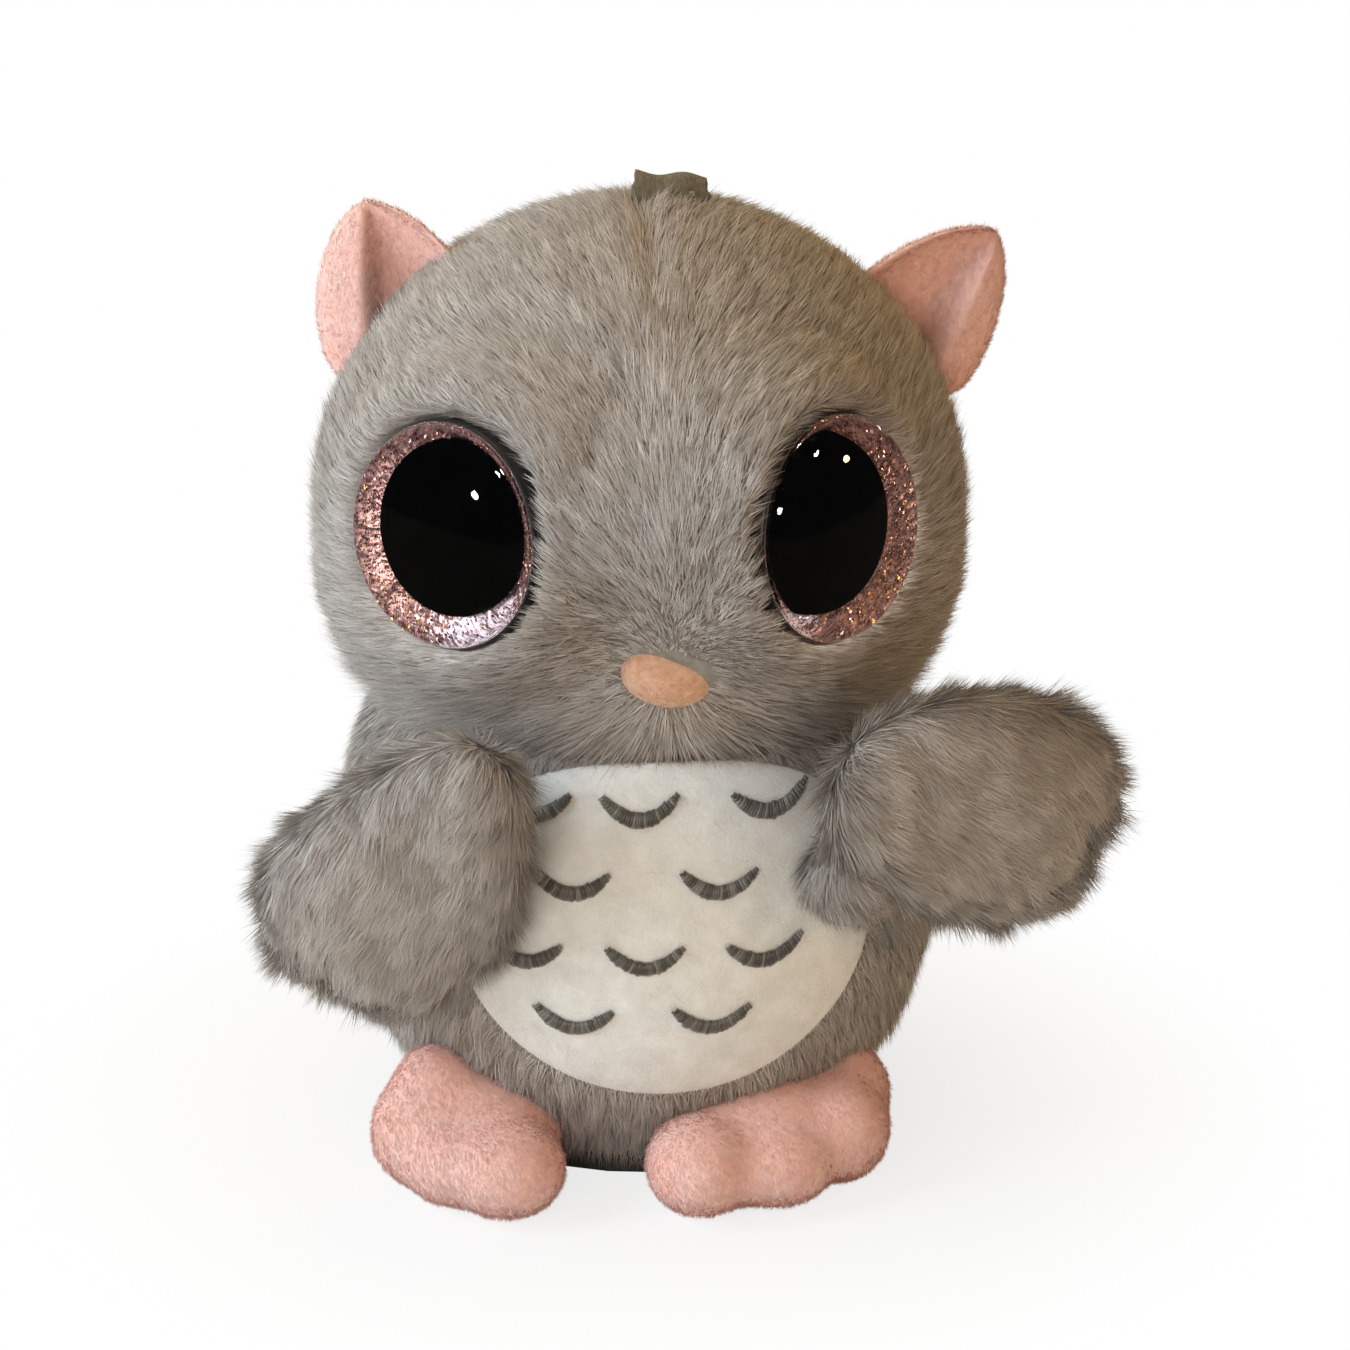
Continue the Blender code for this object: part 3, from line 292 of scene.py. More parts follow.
def grow_fur(name, skin, body, count, length, width, comb, keep=None, lift=0.6, tuft=0.0022, gather=0.5,
             stray=0.25, seed=1, materials=fur_materials, tones=(0.0, 1.0), tone=None, parts=1, droop=0.25,
             lengths=None, lifts=None, curl=0.35, soft=0.6, spare=None):
    """Hairs over a skin, each one a thin triangle.

    comb(points) says which way they lie, keep(points) where they grow (0 to 1), lengths(points) how long
    they are, lifts(points) how far they stand up, tone(points) how much paler they are, and
    spare(roots, tips) which ones are dropped because they would run into something. Tones are the shares of
    the list of materials that are used. Soft is how far a hair is shaded like the skin below it.
    """
    rng = np.random.default_rng(seed)
    points, normals = scatter(skin, count, rng)
    if keep is not None:
        stays = rng.random(len(points)) < keep(points)
        points, normals = points[stays], normals[stays]
    n = len(points)
    middle, shared = tuft_of(points, tuft)
    flow = comb(points)
    flow = unit(flow - normals * (flow * normals).sum(1, keepdims=True))
    side = np.cross(normals, flow)
    turn = (shared[:, :1] - 0.5) * 2 * stray + rng.normal(0, stray * 0.45, (n, 1))
    flow = unit(flow * np.cos(turn) + side * np.sin(turn))
    long = length * (0.8 + 0.35 * shared[:, 1] + rng.normal(0, 0.10, n))
    if lengths is not None:
        long = long * lengths(points)
    long = np.maximum(long, length * 0.15)[:, None]
    rise = lift * (0.8 + 0.4 * rng.random((n, 1)))
    if lifts is not None:
        rise = rise * lifts(points)[:, None]
    wave = rng.normal(0, curl * 0.3, (n, 3))
    heading = unit(flow + normals * rise * 0.85 + np.array((0, 0, -droop / 2)) + wave)

    roots = points - normals * ROOT_DEPTH
    # tips lean towards their tuft's middle line
    lean = middle - points
    lean = lean - normals * (lean * normals).sum(1, keepdims=True)
    tips = roots + heading * long + lean * gather
    if spare is not None:
        stays = ~spare(roots, tips)
        roots, tips, normals, shared = roots[stays], tips[stays], normals[stays], shared[stays]
        n = len(roots)

    reach = unit(tips - roots)
    across = unit(np.cross(reach, normals))
    spin = rng.normal(0, 0.45, (n, 1))
    across = unit(across * np.cos(spin) + normals * np.sin(spin))
    half = width / 2 * (0.75 + 0.5 * rng.random((n, 1)))
    co = np.stack([roots - across * half, roots + across * half, tips], axis=1).astype(np.float32)
    shading = unit(normals * soft + unit(np.cross(across, reach)) * (1 - soft))
    shading = np.stack([shading, shading, unit(shading + reach * 0.25)], axis=1).astype(np.float32)
    value = 0.5 * shared[:, 2] + 0.5 * rng.random(n)
    value = tones[0] + (tones[1] - tones[0]) * value
    if tone is not None:
        value = value + tone(roots)
    shade = np.clip((value * len(materials)).astype(int), 0, len(materials) - 1).astype(np.int32)

    # a large coat is split into parts from left to right
    groups = [np.arange(n)] if parts == 1 else np.array_split(np.argsort(roots[:, 0], kind="stable"), parts)
    for part, group in enumerate(groups):
        corners = 3 * len(group)
        mesh = bpy.data.meshes.new(name)
        mesh.vertices.add(corners)
        mesh.vertices.foreach_set("co", co[group].ravel())
        mesh.loops.add(corners)
        mesh.loops.foreach_set("vertex_index", np.arange(corners, dtype=np.int32))
        mesh.polygons.add(len(group))
        mesh.polygons.foreach_set("loop_start", np.arange(0, corners, 3, dtype=np.int32))
        mesh.polygons.foreach_set("material_index", shade[group])
        for material in materials:
            mesh.materials.append(material)
        mesh.update(calc_edges=True)
        mesh.shade_smooth()
        mesh.normals_split_custom_set_from_vertices(shading[group].reshape(-1, 3))
        fur = bpy.data.objects.new(name if parts == 1 else f"{name}_{part + 1}", mesh)
        bpy.context.scene.collection.objects.link(fur)
        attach(fur, body)


# ---- camera, floor and light
def make_camera():
    azimuth, elevation, distance = math.radians(-3.5), math.radians(18), 0.65
    aim = Vector((0.0056, 0, 0.0731))
    back = Vector((
        math.sin(azimuth) * math.cos(elevation), -math.cos(azimuth) * math.cos(elevation), math.sin(elevation)
    ))
    lens = bpy.data.cameras.new("camera")
    lens.sensor_width = 36
    lens.lens = 107.5
    lens.clip_start, lens.clip_end = 0.01, 20
    camera = bpy.data.objects.new("camera", lens)
    camera.location = aim + back * distance
    camera.rotation_euler = (-back).to_track_quat("-Z", "Y").to_euler()
    bpy.context.scene.collection.objects.link(camera)
    bpy.context.scene.camera = camera


def make_lamps(lamps):
    """Round lamps that all face the toy, from rows of name: (place, size, watts, colour)."""
    made = []
    for name, (place, size, watts, colour) in lamps.items():
        light = bpy.data.lights.new(name, "AREA")
        light.shape = "DISK"
        light.size, light.energy, light.color = size, watts, colour
        lamp = bpy.data.objects.new(name, light)
        lamp.location = place
        lamp.rotation_euler = (LAMP_AIM - Vector(place)).to_track_quat("-Z", "Y").to_euler()
        bpy.context.scene.collection.objects.link(lamp)
        made.append(lamp)
    return made


def light_only(lamps, things, state):
    """Lets lamps reach only these things, or everything but them."""
    group = bpy.data.collections.new(lamps[0].name + "_reach")
    for thing in things:
        group.objects.link(thing)
    for link in group.collection_objects:
        link.light_linking.link_state = state
    for lamp in lamps:
        lamp.light_linking.receiver_collection = group


LAMP_AIM = Vector((0, 0, 0.085))
SOFT_LAMPS = {
    "window_left": ((-0.70, -0.30, 0.50), 0.45, 4.8, (0.86, 1.0, 1.12)),
    "lamp_right": ((0.60, -0.35, 0.25), 0.30, 0.85, (1.0, 0.60, 0.24)),
    "ceiling": ((-0.05, 0.15, 0.85), 0.5, 2.1, (1.0, 0.66, 0.22)),
    "window_back": ((-0.80, 0.30, 0.35), 0.40, 1.3, (0.90, 1.0, 1.08)),
    "front_left": ((-0.25, -0.75, 0.35), 0.45, 2.2, (1.0, 0.92, 0.84)),
}
GLINTS = {
    "glint_cool_1": ((-0.44, -0.575, 0.455), 0.085, 2.6, (0.97, 0.98, 1.0)),
    "glint_cool_2": ((0.314, -0.211, 0.795), 0.085, 2.6, (0.97, 0.98, 1.0)),
    "glint_amber": ((0.695, -0.086, 0.458), 0.070, 1.5, (1.0, 0.62, 0.22)),
}
SPARKLE_LAMPS = {
    "sparkle_left": ((-0.60, -0.30, 0.10), 0.05, 3.0, (1.0, 0.86, 0.78)),
    "sparkle_right": ((0.55, -0.45, 0.30), 0.05, 3.0, (1.0, 0.74, 0.50)),
    "sparkle_front": ((0.05, -0.80, 0.05), 0.06, 4.0, (0.96, 0.92, 1.0)),
}


def make_studio():
    world = bpy.data.worlds.new("studio")
    world.use_nodes = True
    bpy.context.scene.world = world
    tree = world.node_tree
    fill = tree.nodes["Background"]
    set_sockets(fill, Color=(1.0, 0.82, 0.62, 1), Strength=0.10)
    dark_room = add_node(tree, "Background", Color=(0.9, 0.95, 1.0, 1), Strength=0.025)
    backdrop = add_node(tree, "Background", Color=(1, 1, 1, 1), Strength=1.0)
    path = add_node(tree, "LightPath")
    around = mix_by(tree, path.outputs["Is Glossy Ray"], fill, dark_room)
    seen = mix_by(tree, path.outputs["Is Camera Ray"], around, backdrop)
    tree.links.new(seen.outputs[0], tree.nodes["World Output"].inputs["Surface"])

    # the eye domes mirror only the small lamps, and their surroundings as a dark room
    light_only(make_lamps(SOFT_LAMPS), domes + pupils, "EXCLUDE")
    light_only(make_lamps(GLINTS), domes, "INCLUDE")
    light_only(make_lamps(SPARKLE_LAMPS), glitter, "INCLUDE")

    floor = mesh_from(
        "floor", [(-6, -6, 0), (6, -6, 0), (6, 6, 0), (-6, 6, 0)], [(0, 1, 2, 3)], [floor_material()],
        smooth=False,
    )
    floor.location.z = -0.0002
    bpy.context.scene.view_settings.view_transform = "Standard"


def floor_material():
    """A pale floor that keeps its soft shadows near the toy and fades into the white backdrop."""
    material = patterned("floor_pale", (0.94, 0.94, 0.935), (0.96, 0.96, 0.955), 0.3, 0.8, bump=0.0)
    tree = material.node_tree
    place = add_node(tree, "TexCoord").outputs["Object"]
    away = add_node(tree, "VectorMath", (place, 0))
    away.operation = "LENGTH"
    fade = add_node(tree, "MapRange", (away.outputs["Value"], "Value"), From_Min=0.04, From_Max=0.12,
                    To_Min=0.8)
    fade.interpolation_type = "SMOOTHSTEP"
    path = add_node(tree, "LightPath")
    seen = add_node(tree, "Math", (fade.outputs["Result"], 0), (path.outputs["Is Camera Ray"], 1))
    seen.operation = "MULTIPLY"
    # shiny things mirror it as a dark floor
    dark = add_node(tree, "Emission", Color=(0.9, 0.85, 0.7, 1), Strength=0.07)
    lit = mix_by(tree, path.outputs["Is Glossy Ray"], tree.nodes["Principled BSDF"], dark)
    faded = mix_by(tree, seen.outputs["Value"], lit, add_node(tree, "Emission"))
    tree.links.new(faded.outputs[0], tree.nodes["Material Output"].inputs["Surface"])
    return material


# ---- head
head_turn = np.array(Matrix.Rotation(math.radians(HEAD_YAW), 3, "Z"))
HEAD_SEMI = (49.5, 43.5, 47.5)   # the last is from the widest level up to the crown
HEAD_LOW = 34.2                  # from the widest level down to the chin
HEAD_SQUARE = 3.3                # how square it is below its widest level, where 2 is an ellipse
HEAD_FULLER = 1.2                # how much wider and taller the skin is than its CAD piece
head_middle = box_middle("head_plush")
head_middle[2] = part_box("head_plush")[1].z - HEAD_SEMI[2] * MM


def in_head(points):
    """Row-frame points to the head's own frame, from its middle."""
    return (points - head_middle) @ head_turn


def from_head(points):
    return points @ head_turn.T + head_middle


NOSE_AT = in_head(box_middle("nose"))


def eye_frame(side):
    """The middle of an eye's back and its turn matrix, from its CAD pieces."""
    name = "eye_left" if side > 0 else "eye_right"
    yaw = math.radians(EYE_YAW * side + HEAD_YAW)
    turn = Euler((math.radians(90 - EYE_TILT), 0, yaw)).to_matrix()
    co = np.array([v.co for v in nodes[name + "_lens"].data.vertices], float)
    local = co @ np.array(turn)
    low, high = local.min(0), local.max(0)
    middle = np.array(((low[0] + high[0]) / 2, (low[1] + high[1]) / 2, low[2] - 3.5 * MM))
    return np.array(turn) @ middle, np.array(turn)


eyes = {side: eye_frame(side) for side in (1, -1)}


def near_angle(angles, place):
    """1 at a place round an eye, falling to 0 on both sides. The place and its width are in degrees."""
    at, wide = place
    off = (np.degrees(angles) - at + 180) % 360 - 180
    return np.exp(-(off / wide) ** 2)


def off_eyes(points):
    """How far each point is from the nearer eye's axis, and how far in front of that eye's back."""
    best = np.full(len(points), 1.0)
    front = np.full(len(points), -1.0)
    for middle, turn in eyes.values():
        local = (points - middle) @ turn
        away = np.hypot(local[:, 0], local[:, 1])
        away = np.where(local[:, 2] < -18 * MM, 1.0, away)
        nearer = away < best
        best = np.where(nearer, away, best)
        front = np.where(nearer, local[:, 2], front)
    return best, front


def make_head():
    ball, faces = sphere_points(6)
    flat = np.hypot(ball[:, 0], ball[:, 1])
    under = ball[:, 2] < 0
    power = 2 / HEAD_SQUARE
    grow = np.where(under, np.maximum(flat, 1e-6) ** (power - 1), 1.0)
    form = np.stack([
        ball[:, 0] * grow, ball[:, 1] * grow, np.where(under, -np.abs(ball[:, 2]) ** power, ball[:, 2])
    ], 1)
    size = np.array(HEAD_SEMI) + HEAD_FULLER
    local = form * size
    local[under, 2] = form[under, 2] * HEAD_LOW
    # the cheeks draw in below the eyes
    local[:, 0] *= 1 - 0.05 * smooth_step(-10, -30, local[:, 2]) * (local[:, 1] < 25)
    # the chin is full, so that its pile hangs over the top of the belly
    chin = 3.0 * np.exp(-(local[:, 0] / 24) ** 2) * smooth_step(-10, -22, local[:, 2]) * (local[:, 1] < -20)
    local[:, 1] -= chin
    # a short seam at the crown
    seam = 1.1 * np.exp(-(local[:, 0] / 1.3) ** 2) * smooth_step(36, 42, local[:, 2]) * (local[:, 1] < 0)
    local = local - unit(local) * seam[:, None]
    points = from_head(local * MM)
    # the plush swells up to the back of each eye, so that the bridge between them is full
    shift = np.zeros_like(points)
    weight = np.full((len(points), 1), 1e-6)
    for middle, turn in eyes.values():
        q = (points - middle) @ turn
        away = np.hypot(q[:, 0], q[:, 1])
        near = smooth_step(29 * MM, 18.5 * MM, away) * (q[:, 2] > -20 * MM)
        # a lip of plush hides the cup's wall, lowest above the right eye's inner side
        dip = near_angle(np.arctan2(q[:, 1], q[:, 0]), (48.0, 34.0)) * (turn[0, 2] < 0)
        height = (-0.8 + (3.5 - 1.7 * dip) * smooth_step(17.0 * MM, 18.3 * MM, away)) * MM
        shift += ((height - q[:, 2]) * near ** 2)[:, None] * turn[:, 2]
        weight += near[:, None]
    points = points + shift / weight
    skin = mesh_from("head_skin", points, faces, [grey_skin])
    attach(skin, "head")
    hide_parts("head_plush")

    def comb(p):
        q = in_head(p) / MM
        away = q - NOSE_AT / MM
        face = unit(away * np.array((1.35, 1, 1)))
        # over the brow the nap runs up and away from the middle line
        brow = smooth_step(-6, 12, q[:, 2])[:, None]
        part = q[:, :1] / np.hypot(q[:, :1], 11) * np.exp(-np.abs(q[:, :1]) / 30) * 0.9
        up = np.concatenate([part + q[:, :1] * 0.016, np.full_like(part, 0.25), np.ones_like(part)], axis=1)
        face = face * (1 - 0.75 * brow) + unit(up) * 0.75 * brow
        back = np.tile(np.array((0, 0.35, -1.0)), (len(p), 1))
        share = smooth_step(2, 24, q[:, 1])[:, None]
        lie = unit(face * (1 - share) + back * share)
        # round the eyes it turns a little away from the rim
        for middle, turn in eyes.values():
            local = (p - middle) @ turn
            away = np.hypot(local[:, 0], local[:, 1])
            near = smooth_step(23 * MM, 18 * MM, away) * (local[:, 2] > -12 * MM)
            radial = unit(local * np.array((1, 1, 0))) @ turn.T
            lie = lie * (1 - 0.15 * near[:, None]) + radial * 0.15 * near[:, None]
        return lie

    def off_nose(q):
        return np.hypot(q[:, 0] / 7.2, (q[:, 2] - NOSE_AT[2] / MM) / 4.8) + 4 * (q[:, 1] > 0)

    def keep(p):
        q = in_head(p) / MM
        away, _ = off_eyes(p)
        clear = smooth_step(16.5 * MM, 17.6 * MM, away)
        under = (q[:, 2] < -24) & (np.hypot(q[:, 0], q[:, 1]) < 34)
        return clear * smooth_step(0.75, 1.0, off_nose(q)) * smooth_step(-34.0, -32.0, q[:, 2]) * ~under

    def lengths(p):
        q = in_head(p) / MM
        near_eye = 0.7 + 0.3 * smooth_step(17 * MM, 25 * MM, off_eyes(p)[0])
        near_nose = 0.55 + 0.45 * smooth_step(1.0, 3.2, off_nose(q))
        chin = 0.8 * np.exp(-(q[:, 0] / 26) ** 2) * (q[:, 1] < 0)
        jaw = 1 + (0.9 + chin) * smooth_step(-16, -28, q[:, 2])
        return near_eye * near_nose * jaw

    def lifts(p):
        return 1 + 2.2 * smooth_step(21.5 * MM, 18 * MM, off_eyes(p)[0])

    def spare(roots, tips):
        hit = np.zeros(len(roots), bool)
        for row in (tips, (roots + tips) / 2):
            away, height = off_eyes(row)
            hit |= (away < (EYE_R + 0.25) * MM) & (height > -0.3 * MM)
        return hit

    # a short dense undercoat, and a longer and finer coat over it; the undercoat takes only the darker tones,
    # painted shade down in the pile
    grow_fur("head_undercoat", skin, "head", 60000, 3.2 * MM, 0.42 * MM, comb, keep, lift=0.5,
             tuft=0.0019, gather=0.3, stray=0.3, seed=11, lengths=lengths, lifts=lifts, droop=0.05,
             tones=(0.0, 0.6), spare=spare)
    grow_fur("head_fur", skin, "head", 210000, 4.9 * MM, 0.22 * MM, comb, keep, lift=0.40,
             tuft=0.0021, gather=0.5, stray=0.2, seed=12, parts=2, lengths=lengths, lifts=lifts,
             droop=0.05, tones=(0.25, 1.0), spare=spare)


def make_turned(name, profile, turn, middle, materials, steps):
    """A closed turned solid from a profile of (radius, height) in mm, outer side first, about local z."""
    rings = []
    points = []
    for r, t in profile:
        if r < 1e-6:
            rings.append([len(points)])
            points.append((0, 0, t))
        else:
            rings.append(list(range(len(points), len(points) + steps)))
            for k in range(steps):
                a = 2 * math.pi * k / steps
                points.append((r * math.cos(a), r * math.sin(a), t))
    faces = []
    for one, two in zip(rings[:-1], rings[1:]):
        for k in range(steps):
            j = (k + 1) % steps
            if len(one) == 1:
                faces.append((one[0], two[k], two[j]))
            elif len(two) == 1:
                faces.append((one[k], two[0], one[j]))
            else:
                faces.append((one[k], two[k], two[j], one[j]))
    world = np.array(points) * MM @ turn.T + middle
    made = mesh_from(name, world, faces, materials)
    made.data.set_sharp_from_angle(angle=math.radians(40))
    return made


def foil(name, dark, light):
    """Foil of tiny cells, each of its own brightness."""
    material, tree, shader = new_material(name)
    set_sockets(shader, Metallic=0.6, Roughness=0.34)
    place = add_node(tree, "TexCoord").outputs["Object"]
    cells = add_node(tree, "TexVoronoi", (place, "Vector"), Scale=4200)
    tree.links.new(add_ramp(tree, cells.outputs["Color"], dark, light), shader.inputs["Base Color"])
    return material


IRIS_FOILS = [
    foil("iris_foil_rose", (0.09, 0.042, 0.040), (0.36, 0.215, 0.20)),
    # the paler foil is painted light: it stands for the iris brightened by the dome's refraction
    foil("iris_foil_painted_light", (0.55, 0.46, 0.58), (0.98, 0.95, 1.0)),
]
FLAKES = [
    plain("flake_rose", (0.46, 0.27, 0.27), 0.22, 1.0), plain("flake_copper", (0.50, 0.24, 0.13), 0.2, 1.0),
    plain("flake_gold", (1.0, 0.58, 0.16), 0.16, 1.0), plain("flake_pearl", (0.96, 0.92, 1.0), 0.18, 1.0),
    plain("flake_plum", (0.13, 0.065, 0.075), 0.25, 1.0),
]
FLAKE_MIX = np.array((0.32, 0.20, 0.03, 0.04, 0.41))    # of the five kinds, over most of an iris
# painted light: one sector of each iris gets the paler foil and mostly pearl flakes, for the brightening by
# the dome's refraction
PAINTED_LIGHT_MIX = np.array((0.18, 0.04, 0.04, 0.70, 0.04))    # in the painted light, where the foil is palest
GOLD_MIX = np.array((0.25, 0.30, 0.32, 0.05, 0.08))     # where the flakes are mostly gold
PAINTED_LIGHT_AT = {-1: (-62.0, 34.0), 1: (-128.0, 16.0)}       # degrees round the iris from its right, and how wide
GOLD_AT = {-1: (-138.0, 30.0), 1: (-62.0, 40.0)}
FLAKE_COUNT = 4200
FLAKES_IN = 8.6
FLAKES_OUT = 16.6
IRIS_IN = 8.0
IRIS_OUT = EYE_R - 1.35
IRIS_HEIGHT = 1.75       # over the eye's back, and so are the next two
IRIS_UNDER = 1.45
FLAKE_HEIGHT = 2.15
PUPIL_AT = {-1: (1.7, 1.3), 1: (-3.9, 1.5)}             # each pupil is off its eye's middle
# pieces that make_studio links lamps to
domes = []
pupils = []
glitter = []


def make_eye(side):
    name = "eye_left" if side > 0 else "eye_right"
    middle, turn = eyes[side]
    rng = np.random.default_rng(50 + side)

    cup_profile = [
        (0.0, 1.2), (EYE_R - 1.2, 1.2), (EYE_R - 1.0, 1.4), (EYE_R - 0.9, 3.0), (EYE_R - 0.6, 3.25),
        (EYE_R - 0.2, 3.2), (EYE_R, 2.9), (EYE_R, 0.9), (EYE_R - 0.5, 0.35), (EYE_R - 1.6, 0.0), (2.4, 0.0),
        (2.4, -6.0), (0.0, -6.0),
    ]
    cup = make_turned(name + "_back", cup_profile, turn, middle, [cup_black], 72)
    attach(cup, "head")
    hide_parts(name + "_cup")

    # the iris is a shallow ring whose foil is pressed into fine rays
    steps, bands = 180, 14
    radii = np.linspace(IRIS_IN, IRIS_OUT, bands)
    angles = np.arange(steps) * 2 * math.pi / steps
    points = []
    ray = rng.random(steps)
    for b, r in enumerate(radii):
        for k, a in enumerate(angles):
            high = IRIS_HEIGHT + 0.11 * (ray[k] - 0.5) + 0.05 * (rng.random() - 0.5)
            high += 0.35 * (b / (bands - 1)) ** 2
            points.append((r * math.cos(a), r * math.sin(a), high))
    points += [(r * math.cos(a), r * math.sin(a), IRIS_UNDER) for r in (radii[-1], radii[0]) for a in angles]
    faces = band_faces(bands + 2, steps)
    under = (bands + 1) * steps
    faces += [(under + k, under + (k + 1) % steps, (k + 1) % steps, k) for k in range(steps)]
    co = np.array(points)
    centre = np.array([co[list(face)].mean(0) for face in faces])
    # painted light: faces in one sector take the paler foil
    painted_light = near_angle(np.arctan2(centre[:, 1], centre[:, 0]), PAINTED_LIGHT_AT[side])
    pale = painted_light > rng.uniform(0.1, 0.9, len(faces))
    iris = mesh_from(
        name + "_foil", co * MM @ turn.T + middle, faces, IRIS_FOILS, smooth=False, indices=pale.astype(int)
    )
    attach(iris, "head")
    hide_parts(name + "_iris")

    # loose flakes caught under the dome
    r = np.sqrt(rng.uniform((FLAKES_IN / FLAKES_OUT) ** 2, 1, FLAKE_COUNT)) * FLAKES_OUT
    a = rng.uniform(0, 2 * math.pi, FLAKE_COUNT)
    size = rng.uniform(0.08, 0.24, FLAKE_COUNT)
    tilt = rng.normal(0, 0.32, (FLAKE_COUNT, 2))
    shape = rng.uniform(0, 2 * math.pi, FLAKE_COUNT)
    high = FLAKE_HEIGHT + 0.35 * ((r - 8) / 9) ** 2 + rng.uniform(0, 0.25, FLAKE_COUNT)
    centre = np.stack([r * np.cos(a), r * np.sin(a), high], 1)
    corners = []
    for k in range(4):
        b = shape + k * math.pi / 2
        dx, dy = np.cos(b) * size, np.sin(b) * size
        corners.append(centre + np.stack([dx, dy, dx * tilt[:, 0] + dy * tilt[:, 1]], 1))
    co = np.stack(corners, 1).reshape(-1, 3)
    turned = (a + math.pi) % (2 * math.pi) - math.pi
    # in the sector of painted light most flakes are pearl
    painted_light, gold = (near_angle(turned, place[side])[:, None] for place in (PAINTED_LIGHT_AT, GOLD_AT))
    mix = FLAKE_MIX * (1 - painted_light) + PAINTED_LIGHT_MIX * painted_light
    mix = mix * (1 - gold) + GOLD_MIX * gold
    kind = (rng.random((FLAKE_COUNT, 1)) > np.cumsum(mix, 1)).sum(1).clip(0, 4)
    squares = np.arange(FLAKE_COUNT * 4).reshape(-1, 4).tolist()
    flakes = mesh_from(
        name + "_flakes", co * MM @ turn.T + middle, squares, FLAKES, smooth=False, indices=kind
    )
    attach(flakes, "head")
    glitter.extend((iris, flakes))

    pupil_profile = [(0.0, 3.05), (4.0, 3.02), (8.0, 2.9), (10.5, 2.75), (PUPIL_R - 0.25, 2.6),
                     (PUPIL_R, 2.45), (PUPIL_R, 2.35), (0.0, 2.35)]
    pupil_middle = middle + turn @ np.array((*PUPIL_AT[side], 0)) * MM
    pupil = make_turned(name + "_pupil_gloss", pupil_profile, turn, pupil_middle, [eye_black], 72)
    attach(pupil, "head")
    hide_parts(name + "_pupil")
    pupils.append(pupil)

    # the dome is cast over the foil and the pupil, with no air between them
    lens = [(0.0, 11.8)]
    for k in range(1, 14):
        t = math.pi / 2 * k / 14
        lens.append(((EYE_R - 0.6) * math.sin(t), 4.6 + 7.2 * math.cos(t)))
    lens += [(EYE_R - 0.5, 4.6), (EYE_R - 0.3, 4.4), (EYE_R - 0.3, 3.6), (EYE_R - 0.5, 3.4),
             (EYE_R - 1.02, 3.35), (EYE_R - 1.02, 1.3), (0.0, 1.3)]
    shell = make_turned(name + "_dome", lens, turn, middle, [dome_clear], 96)
    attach(shell, "head")
    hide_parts(name + "_lens")
    shell.visible_shadow = False
    domes.append(shell)


NOSE_SEMI = (7.2, 4.3, 4.9)


def make_nose():
    ball, faces = sphere_points(5)
    semi = np.array(NOSE_SEMI) * MM
    # fuller below than above, pinched a little in the middle of its top edge
    fat = 1 + 0.05 * (ball[:, 2] < 0) * np.abs(ball[:, 2])
    fat = fat - 0.06 * np.exp(-(ball[:, 0] / 0.4) ** 2) * (ball[:, 2] > 0)
    roll = np.array(Matrix.Rotation(math.radians(9), 3, "Y"))
    points = from_head((ball * fat[:, None] * semi) @ roll.T + NOSE_AT)
    skin = mesh_from("nose_skin", points, faces, [nose_skin])
    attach(skin, "head")
    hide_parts("nose")
    grow_fur("nose_flocking", skin, "head", 9000, 0.5 * MM, 0.09 * MM,
             leaning(0.0, -0.3, -1.0), lift=1.8, tuft=0.0008, gather=0.1, seed=21,
             materials=nose_hairs, stray=0.6, soft=0.7)


EARS = {  # per side: how far it leans out, its middle in the head, its outline's power
    1: (43.0, (43.4, 4.0, 25.8), 1.6),
    -1: (15.0, (-36.8, 4.0, 28.2), 1.9),
}
EAR_WIDE, EAR_DEEP = 13.2, 3.6   # half sizes where it is widest
EAR_UP, EAR_DOWN = 21.0, 13.0    # from there to its tip, and to its end inside the head


